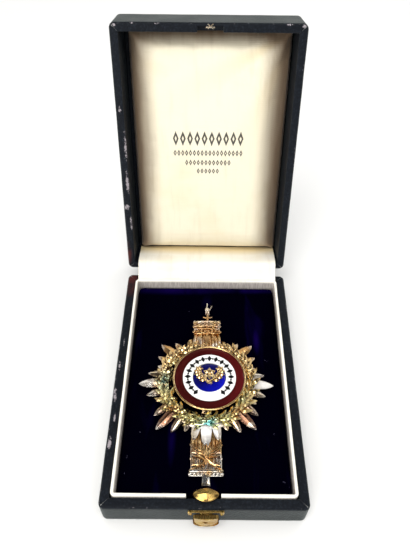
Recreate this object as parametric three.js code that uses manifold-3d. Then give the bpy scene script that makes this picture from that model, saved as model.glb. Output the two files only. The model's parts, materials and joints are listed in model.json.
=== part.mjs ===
// A badge of office lying in its open presentation box.
//
// Frame, in millimetres: the origin is the centre of the base's underside, +X to the
// right of a person facing the box, +Y towards the hinge and +Z up. The lid is built
// closed, about its hinge axis, and its group is then turned open.

import * as THREE from 'three';
import { ConvexGeometry } from 'three/addons/geometries/ConvexGeometry.js';
import { mergeVertices } from 'three/addons/utils/BufferGeometryUtils.js';
import Module from 'manifold-3d';

const wasm = await Module();
wasm.setup();

// ---- Driving dimensions ----

const GAP = 0.3; // between neighbouring pieces
const SOLDER = 0.2; // how far soldered pieces sink into each other
const PAST = 1; // how far a cutting shape reaches past the face that it opens

// The box
const BOX_WIDTH = 80;
const BOX_DEPTH = 117.2;
const BASE_HEIGHT = 13;
const LID_HEIGHT = 20;
const BOX_CORNER = 2.4; // radius of the upright corners
const BOX_EDGE = 1.3; // rounding of the covered edges
const BASE_WALL = 3.9;
const LID_WALL = 3.6;
const BOX_FLOOR = 2;
const LID_TOP = 2.5;
const INNER_CORNER = 1;

// The hinge, hidden behind the back wall
const LID_OPEN_DEG = 103.8;
const HINGE_BEHIND = 1.9; // axis behind the back wall
const HINGE_LENGTH = 36;
const KNUCKLE_RADIUS = 1.5;
const KNUCKLE_BORE = 0.95;
const HINGE_PIN_RADIUS = 0.65;
const KNUCKLES = 5;
const KNUCKLE_SEGMENTS = 20;
const LEAF_THICKNESS = 0.8;
const LEAF_REACH = 9; // from the axis to the leaf's free edge

// The trim, the velvet and the satin
const TRIM_WALL = 1.2;
const TRIM_PROUD = 1.2; // above the base's rim
const TRIM_INNER_CORNER = 0.6;
const VELVET_EDGE = 9.8;
const VELVET_CROWN = 10.0;
const SATIN_EDGE_DEPTH = 11.5; // below the lid's rim
const SATIN_CROWN_DEPTH = 6.5;
const SATIN_SHIFT = 0.8; // the pad sits a little right of the middle
const SATIN_HEAD_SPACE = 1.2; // between the pad and the lid's front wall
const GUSSET_WIDTH = 70;
const GUSSET_THICKNESS = 0.8;
const GUSSET_START = { in: 0.8, up: 0.9 }; // behind the trim's back wall, above the rim
const GUSSET_CREST = { in: 4.0, up: 2.7 };

// The clasp
const CLASP_X = 0.7;
const CLASP_PLATE = { width: 13.8, low: 2.8, high: 12.4, thickness: 0.8 };
const BUTTON = { width: 9.7, low: 3.6, high: 11.6, front: 3.4, inside: 1.0 };
const BUTTON_TRAVEL = 1.0;
const STEM = { width: 5, low: 6.5, high: 8.5 };
const CATCH = { halfLength: 4.7, inner: 2.2, outer: 2.7, low: 13.5, high: 15.5 };
const CATCH_Y = 5.1; // tips of the catch, in from the front wall
const POST = { in: 1.2, thickness: 0.9 }; // its back face, in from the trim's outer face
const TRIM_BREAK = { low: -7.0, high: 6.5 }; // the trim stops on each side of the catch
const STRIKE = { width: 3.6, thickness: 0.5, low: 0.35, high: 3.6, in: 1.2 };
const STRIKE_EYE = { width: 1.6, low: 1.65, high: 2.8 };
const STRIKE_NOTCH_WIDTH = 8.2;

// The badge
const BADGE_X = 0.6;
const STAR_Y = -5.6;
const RAY_CLUSTERS = 8;
const LONG_RAY = { tip: 29.4, width: 3.9, height: 1.7 };
const SIDE_RAY = { tip: 26.2, width: 3.1, height: 1.4, turn: 11.8 };
const SMALL_RAY = { tip: 23.0, width: 2.3, height: 1.1, turn: 22.5 };
const STAR_RING = { inner: 18.0, outer: 21.0, low: 12.6, high: 13.4 };
const RAY_ROOT = 18.8;
const FINE_SEGMENTS = 64;
const WREATH = { radius: 20.0, low: 14.6, stem: 0.9, stemHeight: 0.8, pairs: 9, openDeg: 25 };
const WREATH_LEAF = { length: 5.0, width: 2.3, height: 1.9, shoulder: 0.45, back: 0.6, lean: 32 };
const WREATH_OPENING = 14.8; // width left free for the upper fasces
const WREATH_WELL = 18; // radius left free for the medallion
const MEDALLION_X = 1.8;
const MEDALLION_Y = -4.6;
const BEZEL = { radius: 15.9, lip: 0.7, low: 12.6, floor: 15.3, high: 17.6 };
const BEZEL_FOOT = { in: 1.6, flare: 0.2, height: 1.2 };
const RED_RING = { inner: 11.8, outer: 14.9, high: 17.2 };
const WHITE_RING = { inner: 7.4, outer: 11.5, high: 17.25 };
const BLUE_CENTRE = { radius: 7.1, high: 17.2 };
const DEVICE = { span: 10.6, low: 17.5, height: 0.6, stem: 0.5, degrees: 27, pairs: 3 };
const DEVICE_LEAF = { length: 2.8, width: 1.3, shoulder: 0.5, lean: 38, pitch: 1.6, first: -0.4 };
const DEVICE_TIE = { radius: 0.9, y: -0.2 };
const STAFF_LOW = 11.2;
const SPINE = { width: 8, high: 12.3 };
const SPINE_BLOCK = { width: 10, bottom: 17.5 }; // joins the spine to the upper fasces
const UPPER_FASCES = { bottom: 12.0, top: 26.8, width: 13.2, low: 13.7, high: 15.6 };
const LOWER_FASCES = { bottom: -43.4, top: -23.5, width: 13.4, high: 12.3 };
const BANDS = [
  { y: 25.0, reach: 1.3 },
  { y: 20.8, reach: 1.1 },
];
const BAND_PROUD = { sides: 0.8, top: 0.5 };
const RODS = 7;
const FOOT = { bottom: -45.9, width: 14.3, high: 13.3 };
const PEG = { bottom: -49.9, width: 3.4, high: 12.9 };
const RIBBON = { length: 13.2, width: 1.2, thickness: 0.8, degrees: 24, y: -39.6 };
const DROOPING_RIBBON = { length: 12.4, width: 1.1, y: -37.2 };
const HAND_Z = 13.4;
const NECK = { top: 0.8, bottom: 1.3, length: 5, y: 29.8 };
const KNOP = { size: [2.3, 0.8, 1.3], y: 29.2 };
const PALM = { size: [1.5, 2.0, 1.1], x: -0.4, y: 33.5 };
const FINGERS = [
  { radius: 0.75, length: 3.4, x: 0, y: 36.55, degrees: 0 },
  { radius: 0.55, length: 2.0, x: -1.3, y: 34.4, degrees: 6 },
  { radius: 0.5, length: 3.0, x: 1.8, y: 34.0, degrees: -32 }, // the thumb
];
const BROOCH_PIN = { length: 34, width: 1.4, low: 10.3, high: 10.9, y: 3 };

const HINGE_Y = BOX_DEPTH / 2 + HINGE_BEHIND;
const HINGE_Z = BASE_HEIGHT + GAP / 2;
const LID_OPEN = THREE.MathUtils.degToRad(LID_OPEN_DEG);
const FRONT = -BOX_DEPTH / 2;

// ---- Finishes ----

const finish = (color, roughness, metalness) =>
  new THREE.MeshStandardMaterial({ color, roughness, metalness });

const LEATHERETTE = finish(0x15181f, 0.5, 0);
const IVORY = finish(0xf4eedc, 0.6, 0);
const VELVET = finish(0x0a0628, 0.95, 0);
const SATIN = finish(0xf3e7c6, 0.45, 0);
const BRASS = finish(0xc79a4c, 0.35, 1);
const GILT = finish(0xd8b070, 0.22, 1);
const RED_ENAMEL = finish(0x4a0510, 0.12, 0);
const WHITE_ENAMEL = finish(0xf4f2ec, 0.12, 0);
const BLUE_ENAMEL = finish(0x0d129c, 0.1, 0);
const STEEL = finish(0x9a9a98, 0.35, 1);

// ---- Solids ----

// A closed geometry as a solid that can be joined and cut.
function solid(geometry) {
  const bare = geometry.clone();
  bare.deleteAttribute('normal');
  bare.deleteAttribute('uv');
  const merged = mergeVertices(bare, 1e-4);
  return new wasm.Manifold(
    new wasm.Mesh({
      numProp: 3,
      vertProperties: merged.attributes.position.array,
      triVerts: new Uint32Array(merged.index.array),
    }),
  );
}

const join = (parts) => parts.reduce((whole, part) => whole.add(part));

function mesh(name, shape, material) {
  let geometry = shape;
  if (!shape.isBufferGeometry) {
    const { vertProperties, triVerts } = shape.getMesh();
    geometry = new THREE.BufferGeometry();
    geometry.setAttribute('position', new THREE.BufferAttribute(vertProperties, 3));
    geometry.setIndex(new THREE.BufferAttribute(triVerts, 1));
    geometry.computeVertexNormals();
  }
  const node = new THREE.Mesh(geometry, material);
  node.name = name;
  return node;
}

// A plain block between two corners.
function block(low, high) {
  const size = high.map((value, axis) => value - low[axis]);
  const middle = high.map((value, axis) => (value + low[axis]) / 2);
  return solid(new THREE.BoxGeometry(...size).translate(...middle));
}

function roundedOutline(width, depth, radius) {
  const x = width / 2 - radius;
  const y = depth / 2 - radius;
  const outline = new THREE.Shape();
  outline.absarc(x, y, radius, 0, Math.PI / 2);
  outline.absarc(-x, y, radius, Math.PI / 2, Math.PI);
  outline.absarc(-x, -y, radius, Math.PI, 1.5 * Math.PI);
  outline.absarc(x, -y, radius, 1.5 * Math.PI, 2 * Math.PI);
  outline.closePath();
  return outline;
}

function slab(outline, low, high, curveSegments = 4) {
  const options = { depth: high - low, bevelEnabled: false, curveSegments };
  return solid(new THREE.ExtrudeGeometry(outline, options).translate(0, 0, low));
}

// A slab whose edges are rounded above and below.
function softSlab(width, depth, height, corner, edge) {
  const outline = roundedOutline(width - 2 * edge, depth - 2 * edge, corner - edge);
  const options = {
    depth: height - 2 * edge,
    bevelThickness: edge,
    bevelSize: edge,
    bevelSegments: 3,
    curveSegments: 4,
  };
  return solid(new THREE.ExtrudeGeometry(outline, options).translate(0, 0, edge));
}

// A padded slab: flat below, with a top that swells from its edge to its crown.
function crownedPad(width, depth, low, edge, crown, columns, rows) {
  const points = [];
  const faces = [];
  const swell = (t) => 1 - Math.abs(t) ** 3;
  const layer = (height) => {
    for (let j = 0; j <= rows; j++) {
      for (let i = 0; i <= columns; i++) {
        const u = (2 * i) / columns - 1;
        const v = (2 * j) / rows - 1;
        points.push((u * width) / 2, (v * depth) / 2, height(u, v));
      }
    }
  };
  layer(() => low);
  layer((u, v) => edge + (crown - edge) * swell(u) * swell(v));
  const at = (i, j, top) => top * (columns + 1) * (rows + 1) + j * (columns + 1) + i;
  const quad = (a, b, c, d) => faces.push(a, b, c, a, c, d);
  for (let j = 0; j < rows; j++) {
    for (let i = 0; i < columns; i++) {
      quad(at(i, j, 1), at(i + 1, j, 1), at(i + 1, j + 1, 1), at(i, j + 1, 1));
      quad(at(i, j, 0), at(i, j + 1, 0), at(i + 1, j + 1, 0), at(i + 1, j, 0));
    }
  }
  for (let i = 0; i < columns; i++) {
    quad(at(i, 0, 0), at(i + 1, 0, 0), at(i + 1, 0, 1), at(i, 0, 1));
    quad(at(i + 1, rows, 0), at(i, rows, 0), at(i, rows, 1), at(i + 1, rows, 1));
  }
  for (let j = 0; j < rows; j++) {
    quad(at(0, j + 1, 0), at(0, j, 0), at(0, j, 1), at(0, j + 1, 1));
    quad(at(columns, j, 0), at(columns, j + 1, 0), at(columns, j + 1, 1), at(columns, j, 1));
  }
  const geometry = new THREE.BufferGeometry();
  geometry.setAttribute('position', new THREE.Float32BufferAttribute(points, 3));
  geometry.setIndex(faces);
  return solid(geometry);
}

// A ring or disc turned about the Z axis from its closed section.
function turned(section, segments = 48) {
  const profile = section.map(([radius, height]) => new THREE.Vector2(radius, height));
  return new THREE.LatheGeometry(profile, segments).rotateX(Math.PI / 2);
}

function ring(inner, outer, low, high, segments = 48) {
  return turned(
    [
      [inner, low],
      [outer, low],
      [outer, high],
      [inner, high],
      [inner, low],
    ],
    segments,
  );
}

// A blade with a flat back and a ridge: it starts at the origin and points along +X.
function blade(length, width, height, shoulder = 0.4) {
  const half = width / 2;
  const points = [
    [0, -half * 0.7, 0],
    [0, half * 0.7, 0],
    [0, 0, height * 0.9],
    [length * shoulder, -half, 0],
    [length * shoulder, half, 0],
    [length * shoulder, 0, height],
    [length, 0, 0],
    [length, 0, height * 0.15],
  ];
  return new ConvexGeometry(points.map((point) => new THREE.Vector3(...point)));
}

// A cylinder whose axis lies along X.
function bar(radius, length, segments = 16) {
  return new THREE.CylinderGeometry(radius, radius, length, segments).rotateZ(Math.PI / 2);
}

// ---- The base ----

function baseShell() {
  const outside = softSlab(BOX_WIDTH, BOX_DEPTH, BASE_HEIGHT, BOX_CORNER, BOX_EDGE);
  const tray = roundedOutline(BOX_WIDTH - 2 * BASE_WALL, BOX_DEPTH - 2 * BASE_WALL, INNER_CORNER);
  const halfButton = BUTTON.width / 2 + GAP;
  const pocketBack = FRONT + BUTTON.inside + BUTTON_TRAVEL + GAP;
  const pocket = block(
    [CLASP_X - halfButton, FRONT - PAST, BUTTON.low - GAP],
    [CLASP_X + halfButton, pocketBack, BUTTON.high + GAP],
  );
  const halfStem = STEM.width / 2 + GAP;
  const tunnel = block(
    [CLASP_X - halfStem, FRONT, STEM.low - GAP],
    [CLASP_X + halfStem, FRONT + BASE_WALL + PAST, STEM.high + GAP],
  );
  return outside
    .subtract(slab(tray, BOX_FLOOR, BASE_HEIGHT + PAST))
    .subtract(pocket)
    .subtract(tunnel);
}

const TRIM_WIDTH = BOX_WIDTH - 2 * (BASE_WALL + GAP);
const TRIM_DEPTH = BOX_DEPTH - 2 * (BASE_WALL + GAP);

function ivoryTrim() {
  const low = BOX_FLOOR + GAP;
  const high = BASE_HEIGHT + TRIM_PROUD;
  const outer = slab(roundedOutline(TRIM_WIDTH, TRIM_DEPTH, INNER_CORNER), low, high);
  const innerWidth = TRIM_WIDTH - 2 * TRIM_WALL;
  const innerDepth = TRIM_DEPTH - 2 * TRIM_WALL;
  const hollow = roundedOutline(innerWidth, innerDepth, TRIM_INNER_CORNER);
  const clearance = block(
    [TRIM_BREAK.low, -TRIM_DEPTH / 2 - PAST, STEM.low - GAP],
    [TRIM_BREAK.high, -TRIM_DEPTH / 2 + TRIM_WALL + PAST, high + PAST],
  );
  return outer.subtract(slab(hollow, low - PAST, high + PAST)).subtract(clearance);
}

function velvetPad() {
  const width = TRIM_WIDTH - 2 * (TRIM_WALL + GAP);
  const depth = TRIM_DEPTH - 2 * (TRIM_WALL + GAP);
  const pad = crownedPad(width, depth, BOX_FLOOR + GAP, VELVET_EDGE, VELVET_CROWN, 8, 10);
  const halfStem = STEM.width / 2 + GAP;
  const notch = block(
    [CLASP_X - halfStem, -depth / 2 - PAST, STEM.low - GAP],
    [CLASP_X + halfStem, -depth / 2 + BUTTON_TRAVEL, VELVET_CROWN + PAST],
  );
  return pad.subtract(notch);
}

// ---- The hinge ----

// One leaf with the knuckles whose numbers leave the given remainder by two. The axis is
// the X axis and the leaf reaches up or down from it.
function hingeLeaf(remainder, up) {
  const near = -HINGE_BEHIND + GAP;
  const far = near + LEAF_THICKNESS;
  const clear = KNUCKLE_RADIUS + GAP;
  const span = (from, to) => (up ? [from, to] : [-to, -from]);
  const plate = (left, right, from, to) => {
    const [low, high] = span(from, to);
    return block([left, near, low], [right, far, high]);
  };
  const parts = [plate(-HINGE_LENGTH / 2, HINGE_LENGTH / 2, clear, LEAF_REACH)];
  const pitch = HINGE_LENGTH / KNUCKLES;
  const bore = solid(bar(KNUCKLE_BORE, HINGE_LENGTH + 2 * PAST, KNUCKLE_SEGMENTS));
  for (let i = 0; i < KNUCKLES; i++) {
    if (i % 2 !== remainder) continue;
    const middle = -HINGE_LENGTH / 2 + (i + 0.5) * pitch;
    const half = (pitch - GAP) / 2;
    parts.push(plate(middle - half, middle + half, SOLDER, clear + SOLDER));
    parts.push(solid(bar(KNUCKLE_RADIUS, 2 * half, KNUCKLE_SEGMENTS).translate(middle, 0, 0)));
  }
  return join(parts).subtract(bore);
}

// ---- The clasp ----

function claspPlate() {
  const { width, low, high, thickness } = CLASP_PLATE;
  const back = FRONT - GAP;
  const halfWindow = BUTTON.width / 2 + GAP;
  const plate = block(
    [CLASP_X - width / 2, back - thickness, low],
    [CLASP_X + width / 2, back, high],
  );
  const window = block(
    [CLASP_X - halfWindow, back - thickness - PAST, BUTTON.low - GAP],
    [CLASP_X + halfWindow, back + PAST, BUTTON.high + GAP],
  );
  return plate.subtract(window);
}

// The lens-shaped outline of the catch: two arcs that meet in its left and right tips.
function catchOutline() {
  const { halfLength, inner, outer } = CATCH;
  const arc = (rise) => (halfLength ** 2 + rise ** 2) / (2 * rise);
  const outline = new THREE.Shape();
  const near = arc(outer);
  const nearHalf = Math.asin(halfLength / near);
  outline.absarc(0, near - outer, near, -Math.PI / 2 - nearHalf, -Math.PI / 2 + nearHalf);
  const far = arc(inner);
  const farHalf = Math.asin(halfLength / far);
  outline.absarc(0, inner - far, far, Math.PI / 2 - farHalf, Math.PI / 2 + farHalf);
  return outline;
}

// The push button, its stem through the front wall and the catch are one piece.
function catchButton() {
  const button = block(
    [CLASP_X - BUTTON.width / 2, FRONT - BUTTON.front, BUTTON.low],
    [CLASP_X + BUTTON.width / 2, FRONT + BUTTON.inside, BUTTON.high],
  );
  const postBack = -TRIM_DEPTH / 2 + POST.in;
  const stem = block(
    [CLASP_X - STEM.width / 2, FRONT, STEM.low],
    [CLASP_X + STEM.width / 2, postBack, STEM.high],
  );
  const post = block(
    [CLASP_X - STEM.width / 2, postBack - POST.thickness, STEM.low],
    [CLASP_X + STEM.width / 2, postBack, CATCH.low + SOLDER],
  );
  const lens = slab(catchOutline(), CATCH.low, CATCH.high, 8);
  return join([button, stem, post, lens.translate([CLASP_X, FRONT + CATCH_Y, 0])]);
}

// ---- The badge ----

function starRays() {
  const { inner, outer, low, high } = STAR_RING;
  const parts = [solid(ring(inner, outer, low, high, FINE_SEGMENTS))];
  const ray = ({ tip, width, height }, degrees) => {
    const shape = blade(tip - RAY_ROOT, width, height).translate(RAY_ROOT, 0, low);
    return solid(shape.rotateZ(THREE.MathUtils.degToRad(degrees)));
  };
  for (let i = 0; i < RAY_CLUSTERS; i++) {
    const middle = (360 * i) / RAY_CLUSTERS;
    parts.push(ray(SMALL_RAY, middle + SMALL_RAY.turn));
    if (middle === 90) continue; // the upper fasces stands here
    parts.push(ray(LONG_RAY, middle));
    parts.push(ray(SIDE_RAY, middle - SIDE_RAY.turn));
    parts.push(ray(SIDE_RAY, middle + SIDE_RAY.turn));
  }
  return join(parts).translate([BADGE_X, STAR_Y, 0]);
}

// Two leafy branches that rise from the bottom and stop on each side of the fasces.
function laurelWreath() {
  const { radius, low, stem, stemHeight, pairs, openDeg } = WREATH;
  const { length, width, height, shoulder, back, lean } = WREATH_LEAF;
  const stems = ring(radius - stem, radius + stem, low, low + stemHeight, FINE_SEGMENTS);
  const parts = [solid(stems)];
  const sweep = 180 - openDeg;
  for (const side of [-1, 1]) {
    for (let i = 0; i < pairs; i++) {
      const degrees = -90 + side * (sweep * (i + 0.4)) / pairs;
      for (const way of [-1, 1]) {
        const leaf = blade(length, width, height, shoulder).translate(-back, 0, 0);
        leaf.rotateZ(THREE.MathUtils.degToRad(side * 90 + way * lean));
        leaf.translate(radius - way * side * SOLDER, 0, low + SOLDER);
        parts.push(solid(leaf.rotateZ(THREE.MathUtils.degToRad(degrees))));
      }
    }
  }
  const opening = block(
    [-WREATH_OPENING / 2, radius / 2, low - PAST],
    [WREATH_OPENING / 2, 2 * radius, low + 2 * height],
  );
  const well = solid(ring(0, WREATH_WELL, -2 * height, 2 * height, FINE_SEGMENTS));
  return join(parts)
    .translate([BADGE_X, STAR_Y, 0])
    .subtract(opening.translate([BADGE_X, STAR_Y, 0]))
    .subtract(well.translate([BADGE_X, STAR_Y, low]));
}

// A row of half-round rods side by side, along Y.
function rodBundle(width, bottom, top, low, high) {
  const radius = width / RODS / 2;
  const outline = new THREE.Shape();
  outline.moveTo(width / 2, 0);
  for (let i = RODS - 1; i >= 0; i--) {
    const middle = -width / 2 + (2 * i + 1) * radius;
    outline.absellipse(middle, high - low - radius, radius, radius, 0, Math.PI);
  }
  outline.lineTo(-width / 2, 0);
  outline.closePath();
  const options = { depth: top - bottom, bevelEnabled: false, curveSegments: 3 };
  const bundle = new THREE.ExtrudeGeometry(outline, options);
  return solid(bundle.rotateX(Math.PI / 2).translate(0, top, low));
}

// The fasces: a spine behind the star, its two bundles of rods, their bands, the foot
// and the peg, soldered together.
function fascesStaff() {
  const upper = UPPER_FASCES;
  const lower = LOWER_FASCES;
  const bandWidth = upper.width + BAND_PROUD.sides;
  const band = ({ y, reach }) =>
    block(
      [-bandWidth / 2, y - reach, upper.low + SOLDER],
      [bandWidth / 2, y + reach, upper.high + BAND_PROUD.top],
    );
  const parts = [
    block([-SPINE.width / 2, lower.bottom, STAFF_LOW], [SPINE.width / 2, upper.top, SPINE.high]),
    block(
      [-SPINE_BLOCK.width / 2, SPINE_BLOCK.bottom, SPINE.high - SOLDER],
      [SPINE_BLOCK.width / 2, upper.top, upper.low + SOLDER],
    ),
    rodBundle(upper.width, upper.bottom, upper.top, upper.low, upper.high),
    rodBundle(lower.width, lower.bottom, lower.top, STAFF_LOW, lower.high),
    ...BANDS.map(band),
    block(
      [-FOOT.width / 2, FOOT.bottom, STAFF_LOW],
      [FOOT.width / 2, lower.bottom + SOLDER, FOOT.high],
    ),
    block(
      [-PEG.width / 2, PEG.bottom, STAFF_LOW],
      [PEG.width / 2, FOOT.bottom + SOLDER, PEG.high],
    ),
  ];
  return join(parts).translate([BADGE_X, 0, 0]);
}

// Two ribbons that cross over the lower rods, below a drooping one.
function crossedRibbons() {
  const { thickness, degrees } = RIBBON;
  const z = LOWER_FASCES.high + GAP + thickness / 2;
  const strip = ({ length, width, y }, turn) => {
    const shape = new THREE.BoxGeometry(length, width, thickness);
    return solid(shape.rotateZ(THREE.MathUtils.degToRad(turn)).translate(BADGE_X, y, z));
  };
  return join([strip(RIBBON, degrees), strip(RIBBON, -degrees), strip(DROOPING_RIBBON, 0)]);
}

// A raised hand on a knop: two fingers point up and the thumb stands out to the right.
function handFinial() {
  const finger = ({ radius, length, x, y, degrees }) => {
    const shape = new THREE.CapsuleGeometry(radius, length, 3, 8);
    return solid(shape.rotateZ(THREE.MathUtils.degToRad(degrees)).translate(x, y, 0));
  };
  const ball = ({ size, x = 0, y }) =>
    solid(new THREE.SphereGeometry(1, 10, 7).scale(...size).translate(x, y, 0));
  const neck = new THREE.CylinderGeometry(NECK.top, NECK.bottom, NECK.length, 10);
  const parts = [solid(neck.translate(0, NECK.y, 0)), ball(KNOP), ball(PALM)];
  parts.push(...FINGERS.map(finger));
  return join(parts).translate([BADGE_X, 0, HAND_Z]);
}

function medallionBezel() {
  const { radius, lip, low, floor, high } = BEZEL;
  return turned(
    [
      [0, low],
      [radius - BEZEL_FOOT.in, low],
      [radius - BEZEL_FOOT.flare, low + BEZEL_FOOT.height],
      [radius, high - lip / 2],
      [radius - lip / 2, high],
      [radius - lip, high - lip / 2],
      [radius - lip, floor],
      [0, floor],
    ],
    FINE_SEGMENTS,
  ).translate(MEDALLION_X, MEDALLION_Y, 0);
}

function enamelRing({ inner, outer, high }) {
  return ring(inner, outer, BEZEL.floor + GAP, high).translate(MEDALLION_X, MEDALLION_Y, 0);
}

function blueCentre() {
  const { radius, high } = BLUE_CENTRE;
  const low = BEZEL.floor + GAP;
  const section = [
    [0, low],
    [radius, low],
    [radius, high - 0.1],
    [0, high],
  ];
  return turned(section).translate(MEDALLION_X, MEDALLION_Y, 0);
}

// Two crossed sprigs of leaves, tied in the middle.
function goldDevice() {
  const { span, low, height, stem, degrees, pairs } = DEVICE;
  const { length, width, shoulder, lean, pitch, first } = DEVICE_LEAF;
  const stalk = new THREE.BoxGeometry(span, stem, height).translate(0, 0, height / 2);
  const sprig = [solid(stalk)];
  for (let i = 0; i < pairs; i++) {
    for (const turn of [-lean, lean]) {
      const leaf = blade(length, width, height + SOLDER / 2, shoulder);
      leaf.rotateZ(THREE.MathUtils.degToRad(turn)).translate(first + i * pitch, 0, 0);
      sprig.push(solid(leaf));
    }
  }
  const branch = join(sprig);
  const tie = solid(ring(0, DEVICE_TIE.radius, 0, height + SOLDER, 12));
  return join([
    branch.rotate([0, 0, degrees]),
    branch.mirror([1, 0, 0]).rotate([0, 0, -degrees]),
    tie.translate([0, DEVICE_TIE.y, 0]),
  ]).translate([MEDALLION_X, MEDALLION_Y, low]);
}

function broochPin() {
  const { length, width, low, high, y } = BROOCH_PIN;
  return new THREE.BoxGeometry(width, length, high - low)
    .translate(BADGE_X, y, (high + low) / 2);
}

// ---- The lid, closed, about its hinge axis ----

const LID_MIDDLE = -HINGE_BEHIND - BOX_DEPTH / 2;
const LID_FRONT = -HINGE_BEHIND - BOX_DEPTH;

function lidShell() {
  const outside = softSlab(BOX_WIDTH, BOX_DEPTH, LID_HEIGHT, BOX_CORNER, BOX_EDGE);
  const recess = roundedOutline(BOX_WIDTH - 2 * LID_WALL, BOX_DEPTH - 2 * LID_WALL, INNER_CORNER);
  const shell = outside.subtract(slab(recess, -PAST, LID_HEIGHT - LID_TOP));
  const notch = block(
    [CLASP_X - STRIKE_NOTCH_WIDTH / 2, FRONT + STRIKE.in, -PAST],
    [CLASP_X + STRIKE_NOTCH_WIDTH / 2, FRONT + LID_WALL + PAST, STRIKE.high + 2 * GAP],
  );
  return shell.subtract(notch).translate([0, LID_MIDDLE, GAP / 2]);
}

function satinPad() {
  const width = BOX_WIDTH - 2 * (LID_WALL + GAP) - SATIN_SHIFT * 2;
  const depth = BOX_DEPTH - 2 * (LID_WALL + GAP) - SATIN_HEAD_SPACE;
  const floor = LID_HEIGHT - LID_TOP - GAP;
  const pad = crownedPad(
    width,
    depth,
    0,
    floor - SATIN_EDGE_DEPTH,
    floor - SATIN_CROWN_DEPTH,
    10,
    14,
  );
  const turnedOver = pad.rotate([180, 0, 0]);
  return turnedOver.translate([SATIN_SHIFT, LID_MIDDLE - SATIN_HEAD_SPACE / 2, floor + GAP / 2]);
}

function strikePlate() {
  const { width, thickness, low, high } = STRIKE;
  const y = LID_FRONT + STRIKE.in + GAP;
  const plate = block(
    [CLASP_X - width / 2, y, GAP / 2 + low],
    [CLASP_X + width / 2, y + thickness, GAP / 2 + high],
  );
  const eye = block(
    [CLASP_X - STRIKE_EYE.width / 2, y - PAST, STRIKE_EYE.low],
    [CLASP_X + STRIKE_EYE.width / 2, y + PAST, STRIKE_EYE.high],
  );
  return plate.subtract(eye);
}

// The satin that crosses the hinge, from behind the trim to the foot of the lid's pad.
function satinGusset() {
  const lidPoint = (along, depth) => [
    HINGE_Y - Math.cos(LID_OPEN) * along + Math.sin(LID_OPEN) * depth,
    HINGE_Z + Math.sin(LID_OPEN) * along + Math.cos(LID_OPEN) * depth,
  ];
  const overWall = HINGE_BEHIND + LID_WALL + GAP + GUSSET_THICKNESS / 2;
  const route = [
    [TRIM_DEPTH / 2 + GUSSET_START.in, BASE_HEIGHT + GUSSET_START.up],
    [TRIM_DEPTH / 2 + GUSSET_CREST.in, BASE_HEIGHT + GUSSET_CREST.up],
    lidPoint(overWall - GAP, -3 * GAP),
    lidPoint(overWall, GUSSET_THICKNESS),
    lidPoint(overWall, SATIN_EDGE_DEPTH - 4 * GAP),
  ].map(([y, z]) => new THREE.Vector3(0, y, z));
  const curve = new THREE.CatmullRomCurve3(route, false, 'centripetal');
  const steps = 16;
  const half = GUSSET_THICKNESS / 2;
  const sides = [1, -1].map((side) =>
    curve.getSpacedPoints(steps).map((point, i) => {
      const along = curve.getTangentAt(i / steps);
      return new THREE.Vector2(point.y - side * half * along.z, point.z + side * half * along.y);
    }),
  );
  const outline = new THREE.Shape([...sides[0], ...sides[1].reverse()]);
  const strip = new THREE.ExtrudeGeometry(outline, { depth: GUSSET_WIDTH, bevelEnabled: false });
  strip.translate(0, 0, -GUSSET_WIDTH / 2);
  const turn = new THREE.Matrix4().makeBasis(
    new THREE.Vector3(0, 1, 0),
    new THREE.Vector3(0, 0, 1),
    new THREE.Vector3(1, 0, 0),
  );
  return strip.applyMatrix4(turn).translate(SATIN_SHIFT / 2, 0, 0);
}

// ---- The assembly ----

function atHinge(...nodes) {
  const group = new THREE.Group();
  group.position.set(0, HINGE_Y, HINGE_Z);
  group.add(...nodes);
  return group;
}

const base = new THREE.Group();
base.add(
  mesh('base_shell', baseShell(), LEATHERETTE),
  mesh('ivory_trim', ivoryTrim(), IVORY),
  mesh('velvet_pad', velvetPad(), VELVET),
  mesh('clasp_plate', claspPlate(), BRASS),
  mesh('satin_gusset', satinGusset(), SATIN),
  atHinge(
    mesh('hinge_base_leaf', hingeLeaf(0, false), BRASS),
    mesh('hinge_pin', bar(HINGE_PIN_RADIUS, HINGE_LENGTH - GAP), STEEL),
  ),
);

const badge = new THREE.Group();
badge.add(
  mesh('star_rays', starRays(), GILT),
  mesh('laurel_wreath', laurelWreath(), GILT),
  mesh('fasces_staff', fascesStaff(), GILT),
  mesh('crossed_ribbons', crossedRibbons(), GILT),
  mesh('hand_finial', handFinial(), GILT),
  mesh('medallion_bezel', medallionBezel(), GILT),
  mesh('red_enamel_ring', enamelRing(RED_RING), RED_ENAMEL),
  mesh('white_enamel_ring', enamelRing(WHITE_RING), WHITE_ENAMEL),
  mesh('blue_enamel_centre', blueCentre(), BLUE_ENAMEL),
  mesh('gold_device', goldDevice(), GILT),
  mesh('brooch_pin', broochPin(), GILT),
);

const lid = atHinge(
  mesh('lid_shell', lidShell(), LEATHERETTE),
  mesh('satin_pad', satinPad(), SATIN),
  mesh('hinge_lid_leaf', hingeLeaf(1, true), BRASS),
  mesh('strike_plate', strikePlate(), BRASS),
);
lid.rotation.x = -LID_OPEN;

const part = new THREE.Group();
part.add(base, badge, lid, mesh('catch_button', catchButton(), BRASS));

export default part;
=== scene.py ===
import json
import math

import bmesh
import bpy
from mathutils import Euler, Matrix, Vector, noise


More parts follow.
